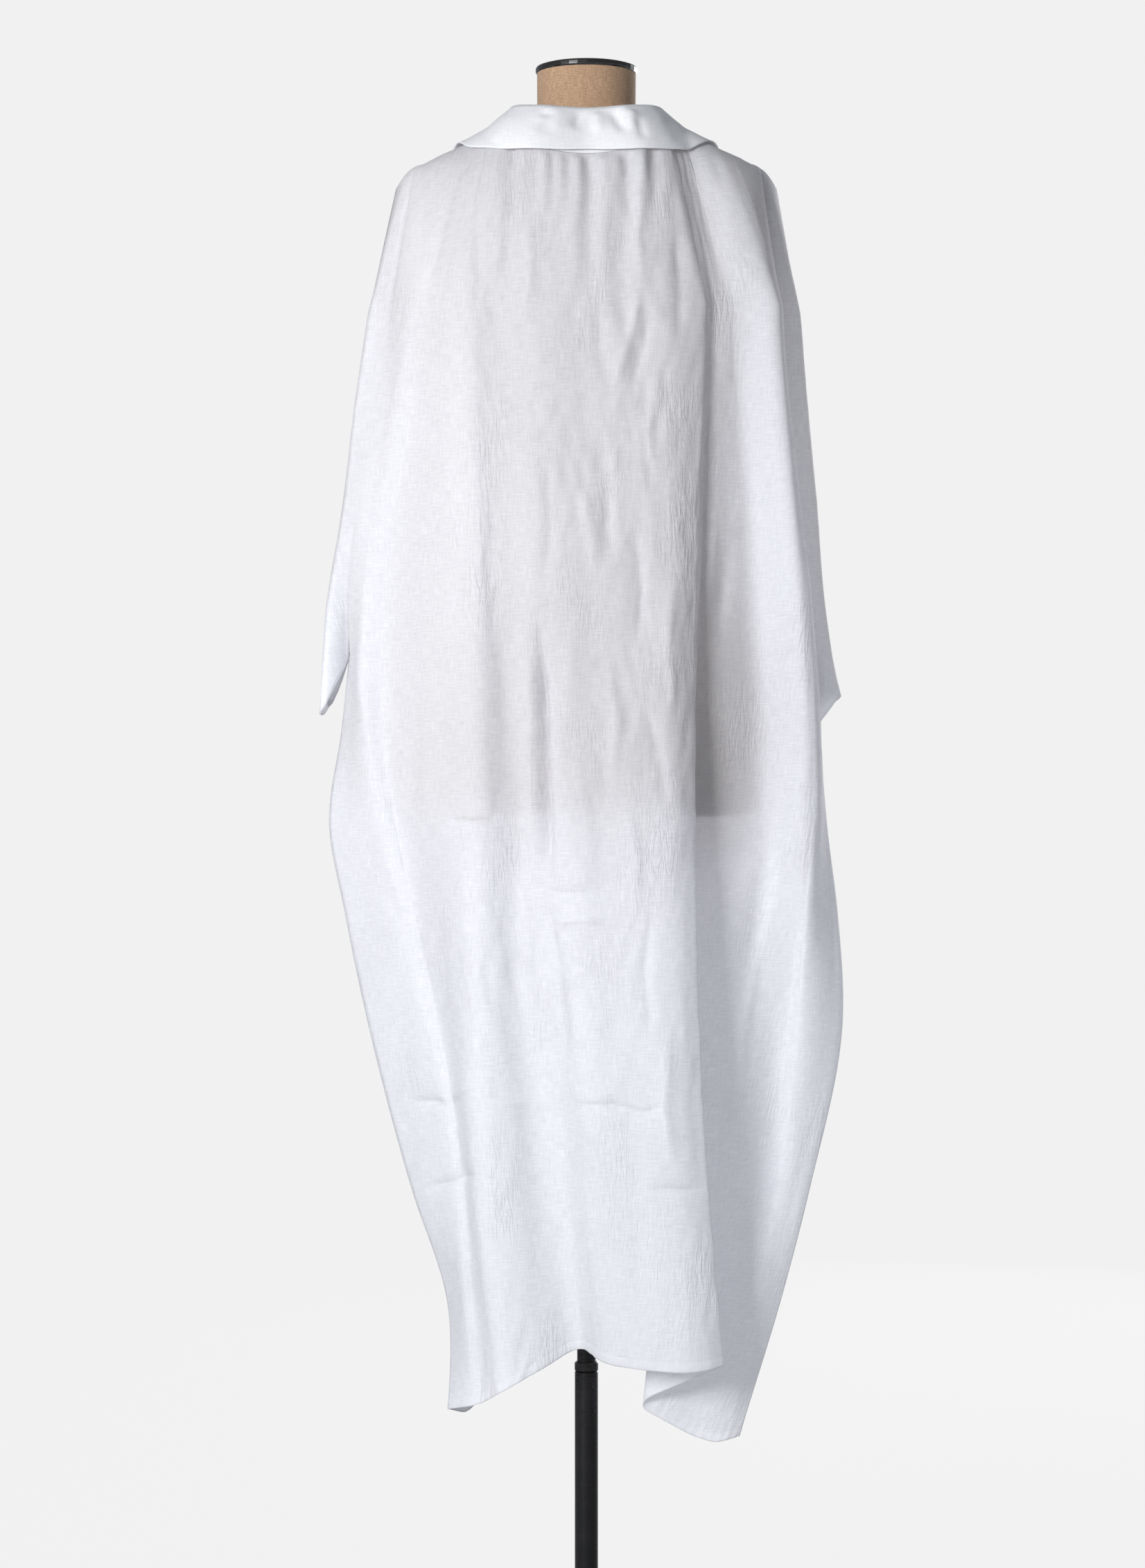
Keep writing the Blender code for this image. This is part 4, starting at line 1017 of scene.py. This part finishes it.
def addForm():
    rings = coverRings()
    count = cover["segments"]
    x, y, z = rings[:, :, 0], rings[:, :, 1], rings[:, :, 2]
    # the seams at the centre back, centre front and both sides lie a little deeper
    groove = np.exp(-((x / cover["seamWidth"]) ** 2)) + np.exp(-((y / cover["seamWidth"]) ** 2))
    wavy = np.array([[noise.noise(tuple(p * cover["ripples"])) for p in ring] for ring in rings])
    sink = cover["seamDepth"] * np.minimum(groove, 1) + cover["ripple"] * (cover["rippleMean"] + wavy)
    reach = np.hypot(x, y)
    rings[:, :, 0] *= 1 - sink / reach
    rings[:, :, 1] *= 1 - sink / reach
    rings[:, -1] = rings[:, 0]
    points = rings[:, :-1].reshape(-1, 3).tolist()
    faces = gridFaces(len(rings), count, closed=True)
    last = (len(rings) - 1) * count
    faces += [tuple(range(count))[::-1], tuple(range(last, last + count))]
    mesh = bpy.data.meshes.new("formCover")
    mesh.from_pydata(points, [], faces)
    layer = mesh.uv_layers.new(name="grain")
    around = np.arctan2(y, x) * cover["mapRadius"]
    around = np.where(around < cover["mapFrom"], around + 2 * cover["mapRadius"] * math.pi, around)
    for loop in mesh.loops:
        k, i = divmod(loop.vertex_index, count)
        layer.data[loop.index].uv = (around[k, i], z[k, 0])
    mesh.shade_smooth()
    mesh.set_sharp_from_angle(angle=math.radians(cover["sharpTurn"]))
    mesh.materials.append(formCover)
    piece = addThing("formCover", mesh)
    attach(piece, "form")
    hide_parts("form_torso")
    return BVHTree.FromPolygons(points, faces)


formSkin = addForm()
print("dress form ready")


def keepClear(grid, skin, gap):
    # moves the cloth's points out where they come closer to the dress form than the gap
    for j, i in np.argwhere(~np.isnan(grid[:, :, 0])):
        point = grid[j, i]
        if point[2] < wrinkles["formEnd"]:
            continue
        place, normal, _, _ = skin.find_nearest(point.tolist(), wrinkles["formReach"])
        if place is None:
            continue
        height = float((Vector(point.tolist()) - place).dot(normal))
        if height < gap:
            grid[j, i] = point + np.array(normal) * (gap - height)


# the dress's back and front
# where the cloth is painted darker by extra see-through, standing in for the shade beside the form's right
# hip
clingShadeZone = {
    "near": 0.028, "far": 0.060,      # distances from the dress form where it clings and no longer does
    "from": 0.106, "full": 0.114,     # across, towards the wearer's right
    "top": (1.27, 1.12), "low": 0.8,  # heights
}


def clingShadeOf(grid):
    # 1 where the cloth lies close to the form's hip on the wearer's right, 0 elsewhere: where the cloth is
    # made more see-through as painted shade
    found = np.zeros(grid.shape[:2])
    x, y, z = np.moveaxis(grid, 2, 0)
    top, full = clingShadeZone["top"]
    for j, i in np.argwhere((x < -clingShadeZone["from"]) & (y > 0.0) & (z > clingShadeZone["low"]) & (z < top)):
        _, _, _, away = formSkin.find_nearest(grid[j, i].tolist(), clingShadeZone["far"])
        if away is not None:
            found[j, i] = smooth(-away, -clingShadeZone["far"], -clingShadeZone["near"])
    found *= smooth(-np.nan_to_num(x), clingShadeZone["from"], clingShadeZone["full"])
    return found * smooth(-np.nan_to_num(z), -top, -full)


def panelLift(base, lengths, creases, gathers, shift):
    # how far creases, wrinkles, gathers and the hem stand out all over a panel
    across, down, upward = lengths
    x, y, z = np.moveaxis(base, 2, 0)
    calm = wrinkles["edgeCalm"]
    last = np.array([np.nanmax(np.abs(row)) for row in across])
    atSide = smooth(last[:, None] - np.abs(across), 0.0, calm)
    settle = smooth(down, 0.0, calm) * atSide
    narrow = smooth(np.abs(y), *wrinkles["sideCalm"])
    atNeck = np.abs(x[0]) < dress["neckHalf"] + calm
    pulled = gatherField(x, np.where(atNeck[None, :], down, np.inf), gathers)
    lift = creaseField(x, z, creases) + wrinkleField(across, down, shift)
    lift = lift * settle * narrow + pulled * atSide
    near, far = wrinkles["collarReach"]
    covered = smooth(z, *wrinkles["collarHeight"]) * smooth(-np.abs(x), -far, -near)
    held = lift * (1 - covered) + np.minimum(lift, wrinkles["underCollar"]) * covered
    lift = np.where(lift > 0, held, lift)
    hem = wrinkles["hemDepth"]
    band = smooth(hem + wrinkles["hemEdge"] / 2 - upward, 0.0, wrinkles["hemEdge"])
    line = np.exp(-(((upward - hem + linen["stitchInset"]) / wrinkles["stitchWidth"]) ** 2))
    lift += wrinkles["hemRise"] * band - wrinkles["stitchSink"] * line
    beat = across * 2 * math.pi / wrinkles["puckerStep"]
    uneven, often = wrinkles["puckerUneven"]
    pucker = np.sin(beat + uneven * np.sin(across * often)) * wrinkles["pucker"]
    full, none = wrinkles["puckerReach"]
    lift += pucker * smooth(none - upward, 0.0, none - full)
    return np.where(np.isnan(x), np.nan, lift)


def addPanel(side, creases, gathers, node, flatSizes):
    facing = 1 if side == "back" else -1
    base = panelGrid(side)
    normal = gridNormals(base, (0, facing, 0))
    lengths = lengthsOf(base)
    lift = panelLift(base, lengths, creases, gathers, flatSizes["wrinkleShift"])
    grid = base + normal * (dress["wallMiddle"] + lift)[:, :, None]
    # the sewn edges stay where both panels meet
    flat = np.abs(base[:, :, 1]) < form["seamGap"]
    beside = dress["thickness"] * wrinkles["edgeShare"]
    grid[:, :, 1] = np.where(flat, facing * beside, grid[:, :, 1])
    grid[:, :, 1] = facing * np.maximum(facing * grid[:, :, 1], beside)
    keepClear(grid, formSkin, wrinkles["clearForm"])
    made = linenSheer if side == "back" else linenFront
    maps = mapsOf(lengths[0], form["shoulderTop"] - base[:, :, 2], lengths[2])
    piece = addSheet(node, grid, normal, maps, made, dress["thickness"], clingShade=clingShadeOf(grid))
    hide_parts({"back": "dress_back", "front": "dress_front"}[side])
    sayMeasures(side + " panel", grid)
    return base


panels = {
    "back": {"flat": (0.87, 1.48), "area": 0.886, "wrinkleShift": 3.0},
    "front": {"flat": (0.96, 1.42), "area": 0.811, "wrinkleShift": 60.0},
}
backBase = addPanel("back", backCreases, backGathers, "dressBack", panels["back"])
frontBase = addPanel("front", frontCreases, frontGathers, "dressFront", panels["front"])


# collar and neckband
collar = {
    "open": 0.0016, "endGap": (0.0006, 0.0004), "step": 0.0040,
    "width": (0.0515, 0.068), "slope": (66, 46),   # at centre back and at the sides; slope in degrees
    "lift": (0.0034, 0.0042), "liftTurn": (60, 100),   # off the shoulders, growing between these turns
    "bow": 0.004, "bowSpan": 0.9, "foldGap": 0.0009, "foldCrown": 1.4,
    "standRise": 0.050, "standLean": 0.0215, "standFade": 2.8, "leanFade": 0.8,
    "lapelStand": 0.011, "lapelWay": (-0.72, 0.10, 0.68), "lapelTurn": (80, 125),   # turns in degrees
    "wall": 0.0015, "rows": 22, "bandRows": 9, "restRows": 12, "thickness": 0.0011,
    "seamSmoothing": 2, "smoothing": 3,
    "bandStart": 0.4,        # most of its rise that the neckband may start above the seam
    "bandInside": (0.0, 0.0, 1.5), "fallInside": (0.0, 0.0, 1.3),   # points that each one goes round
    "topStitch": 0.0035, "stitchWidth": 0.0014, "stitchSink": 0.0003,
    "ripple": 0.0007, "ripples": (38, 30, 9.5),
    "creasesTo": -0.03, "rollCalm": (0.004, 0.016),   # no creases further forward, nor on the roll line
}
collarCreases = [Crease(*row) for row in (   # dents, and the bulges between them
    ([(2, 1702), (6, 1688), (14, 1664)], 6, -3.6),
    ([(-10, 1702), (-11, 1686), (-13, 1658)], 6, 3.4),
    ([(-22, 1700), (-33, 1676), (-44, 1660)], 5.5, -4.2),
    ([(-43, 1698), (-47, 1680), (-46, 1662)], 6, 3.1),
    ([(-54, 1682), (-57, 1668), (-62, 1652)], 4.5, -2.5),
    ([(36, 1698), (42, 1676), (50, 1658)], 8, -2.0),
    ([(26, 1698), (30, 1680), (34, 1660)], 7, 1.3),
    ([(-82, 1690), (-92, 1668), (-104, 1650)], 8, -1.7),
    ([(76, 1690), (88, 1668), (100, 1650)], 8, 1.4),
)]


def crossing(row, x):
    # a row's point at x
    rising = np.array(row[::-1])
    return np.array([np.interp(x, rising[:, 0], rising[:, k]) for k in range(3)])


def neckSeam():
    # the neck seam's points and angles from centre back, from the left front end to the right
    half = dress["neckHalf"]
    back = [point for point in backBase[0] if abs(point[0]) < half + collar["wall"]]
    front = [point for point in frontBase[0] if abs(point[0]) < half - collar["wall"]]
    left = [point for point in front if point[0] > collar["open"]]
    right = [point for point in front if point[0] < -collar["open"]]
    ends = [crossing(front, x) for x in (collar["open"], -collar["open"])]
    path = []
    for point in (ends[0], *left[::-1], *back, *right[::-1], ends[1]):
        angle = math.asin(min(abs(point[0]) / half, 1.0))
        if point[1] < 0:
            angle = math.pi - angle
        path.append((point, math.copysign(angle, point[0])))
    along = lengthsAlong([point for point, _ in path])
    places = np.linspace(0, along[-1], round(along[-1] / collar["step"]))
    axes = [np.interp(places, along, [point[k] for point, _ in path]) for k in range(3)]
    angles = np.interp(places, along, [angle for _, angle in path])
    half = collar["seamSmoothing"]
    kernel = np.ones(2 * half + 1) / (2 * half + 1)
    for values in (*axes, angles):
        values[half:-half] = np.convolve(values, kernel, "valid")
    return list(zip(np.array(axes).T, angles))


def collarFrame(angle):
    # the neckband's rise, the fall from the roll line to its edge, and the fall's way out
    hand = math.copysign(1.0, angle)
    fade = max(math.cos(angle / 2), 0.0)
    lean = collar["standLean"] * fade ** collar["leanFade"]
    rise = collar["standRise"] * fade ** collar["standFade"]
    stand = np.array([-math.sin(angle) * lean, -math.cos(angle) * lean, rise])
    inward, back, upward = collar["lapelWay"]
    lapel = np.array([inward * hand, back, upward]) * collar["lapelStand"]
    forward = float(smooth(math.degrees(abs(angle)), *collar["lapelTurn"]))
    up = stand * (1 - forward) + lapel * forward
    away = np.array([math.sin(angle), max(math.cos(angle), 0.0), 0.0])
    if abs(angle) > math.pi / 2:
        away = np.array([hand, 0.0, 0.0])
    aside = min(abs(angle) / (math.pi / 2), 1.0)
    slope = math.radians(float(np.interp(aside, (0, 1), collar["slope"])))
    width = float(np.interp(aside, (0, 1), collar["width"]))
    down = away * math.cos(slope) + np.array([0.0, 0.0, -math.sin(slope)])
    out = away * math.sin(slope) + np.array([0.0, 0.0, math.cos(slope)])
    out = out * (1 - forward) + np.array([0.0, -1.0, 0.0]) * forward
    return up, down * width, out / np.linalg.norm(out)


def mitred(up, foot):
    # shortens the rise near the neck opening's point, so that both ends meet on the centre line
    if foot[1] > 0 or abs(up[0]) < 1e-6:
        return up
    gap, least = collar["endGap"]
    return up * min(1.0, max(abs(foot[0]) - gap, least) / abs(up[0]))


def skinOf(*grids):
    # the panels above the shoulder blades as one surface to measure from
    points, faces = [], []
    for grid in grids:
        part = grid[:dress["capRows"] + collar["restRows"]]
        keep = ~np.isnan(part[-1, :, 0])
        part = part[:, keep]
        start, across = len(points), part.shape[1]
        points += part.reshape(-1, 3).tolist()
        faces += gridFaces(len(part), across, start)
    return BVHTree.FromPolygons(points, faces)


def clearOf(skin, point, gap):
    # the point, moved out until it is the gap away from the skin
    place, normal, _, _ = skin.find_nearest(list(point))
    place, normal = np.array(place), np.array(normal)
    if np.dot(normal, place - np.array([0.0, 0.0, dress["bladeHeight"]])) < 0:
        normal = -normal
    height = np.dot(point - place, normal)
    return point + normal * max(0.0, gap - height)


def addNeckband():
    rows = np.zeros((collar["bandRows"], len(seam), 3))
    for i, (foot, angle) in enumerate(seam):
        up = mitred(collarFrame(angle)[0], foot)
        rise = float(np.linalg.norm(up))
        start = up / rise * min(form["seamGap"] * 2, collar["bandStart"] * rise)
        for j, share in enumerate(np.linspace(0, 1, collar["bandRows"])):
            rows[j, i] = foot + start + (up - start) * share
    normal = gridNormals(rows, np.array(collar["bandInside"]) - rows)
    grid = rows + normal * dress["wallMiddle"]
    across, down, _ = lengthsOf(grid)
    maps = mapsOf(across, down, down)
    piece = addSheet("neckBand", grid, normal, maps, linenDouble, collar["thickness"])
    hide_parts("neckband")
    return piece, grid


def addCollar():
    skin = skinOf(backBase, frontBase)
    count = collar["rows"]
    rows = np.zeros((count, len(seam), 3))
    for i, (foot, angle) in enumerate(seam):
        up, down, out = collarFrame(angle)
        up = mitred(up, foot)
        roll = foot + up
        over = up / np.linalg.norm(up) * collar["foldGap"]
        profile = [roll + over, roll + over * collar["foldCrown"] + out * collar["foldGap"]]
        for share in np.linspace(0, 1, count - 1)[1:]:
            bow = collar["foldGap"] + collar["bow"] * math.sin(math.pi * share * collar["bowSpan"])
            profile.append(roll + down * share + out * bow)
        lift = float(np.interp(math.degrees(abs(angle)), collar["liftTurn"], collar["lift"]))
        profile[2:] = [clearOf(skin, point, collar["wall"] + lift) for point in profile[2:]]
        rows[:, i] = profile
    for _ in range(collar["smoothing"]):
        rows[:, 1:-1] = rows[:, 1:-1] * 0.5 + (rows[:, :-2] + rows[:, 2:]) * 0.25
    normal = gridNormals(rows, rows - np.array(collar["fallInside"]))
    across, down, edge = lengthsOf(rows)
    lift = creaseField(rows[:, :, 0], rows[:, :, 2], collarCreases)
    lift = np.where(rows[:, :, 1] > collar["creasesTo"], lift, 0.0)
    often, deep, shift = collar["ripples"]
    ripple = np.array([[noise.noise((a * often, b * deep, shift)) for a, b in zip(r, s)]
                       for r, s in zip(across, down)]) * collar["ripple"]
    lift = (lift + ripple) * smooth(down, *collar["rollCalm"])
    stitch = np.exp(-(((edge - collar["topStitch"]) / collar["stitchWidth"]) ** 2))
    lift -= collar["stitchSink"] * stitch
    grid = rows + normal * (dress["wallMiddle"] + lift)[:, :, None]
    maps = mapsOf(across, down, edge + linen["stitchDepth"] - collar["topStitch"] - linen["stitchInset"])
    piece = addSheet("collarFall", grid, normal, maps, linenDouble, collar["thickness"])
    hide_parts("collar")
    return piece, grid


seam = neckSeam()
bandPiece, bandGrid = addNeckband()
collarPiece, collarGrid = addCollar()
sayMeasures("neckband", bandGrid)
sayMeasures("collar", collarGrid)
print("dress ready")


# finishes of the stand, cap and pole
capDisc = {
    "from": (1.7448, 1.7450),    # heights between which the rim gives way to the disc
    "tone": (0.012, 0.011, 0.011), "rough": 0.28,
}


def capMaterial():
    # a gloss black disc over a thin bright rim
    n = Nodes(finishes["capChrome"])
    height = n.new("SeparateXYZ", {0: n.new("TexCoord").outputs["Object"]}).outputs[2]
    dark = n.new("BsdfPrincipled", {"Base Color": capDisc["tone"], "Roughness": capDisc["rough"]})
    n.link(n.shader.inputs["Normal"].links[0].from_socket, dark.inputs["Normal"])
    n.show(n.blend(n.span(height, *capDisc["from"]), n.shader.outputs[0], dark.outputs[0]))
    return n.made


hardParts = {
    "neck_cap": capMaterial(),
    "pole_flange": finishes["poleGloss"], "inner_tube": finishes["poleGloss"],
    "outer_tube": finishes["poleGloss"], "tube_bush": finishes["capBlack"],
    "base_socket": finishes["capBlack"], "height_screw": finishes["capBlack"],
    "base_plate": finishes["baseSatin"],
}
for node, finish in hardParts.items():
    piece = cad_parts[node]
    piece.data.materials.clear()
    piece.data.materials.append(finish)
print("finishes ready")

tubes = [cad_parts[name] for name in ("outer_tube", "inner_tube")]
limitGlow(receivers=[bpy.data.objects["dressBack"]], blockers=[bpy.data.objects["formCover"], *tubes])
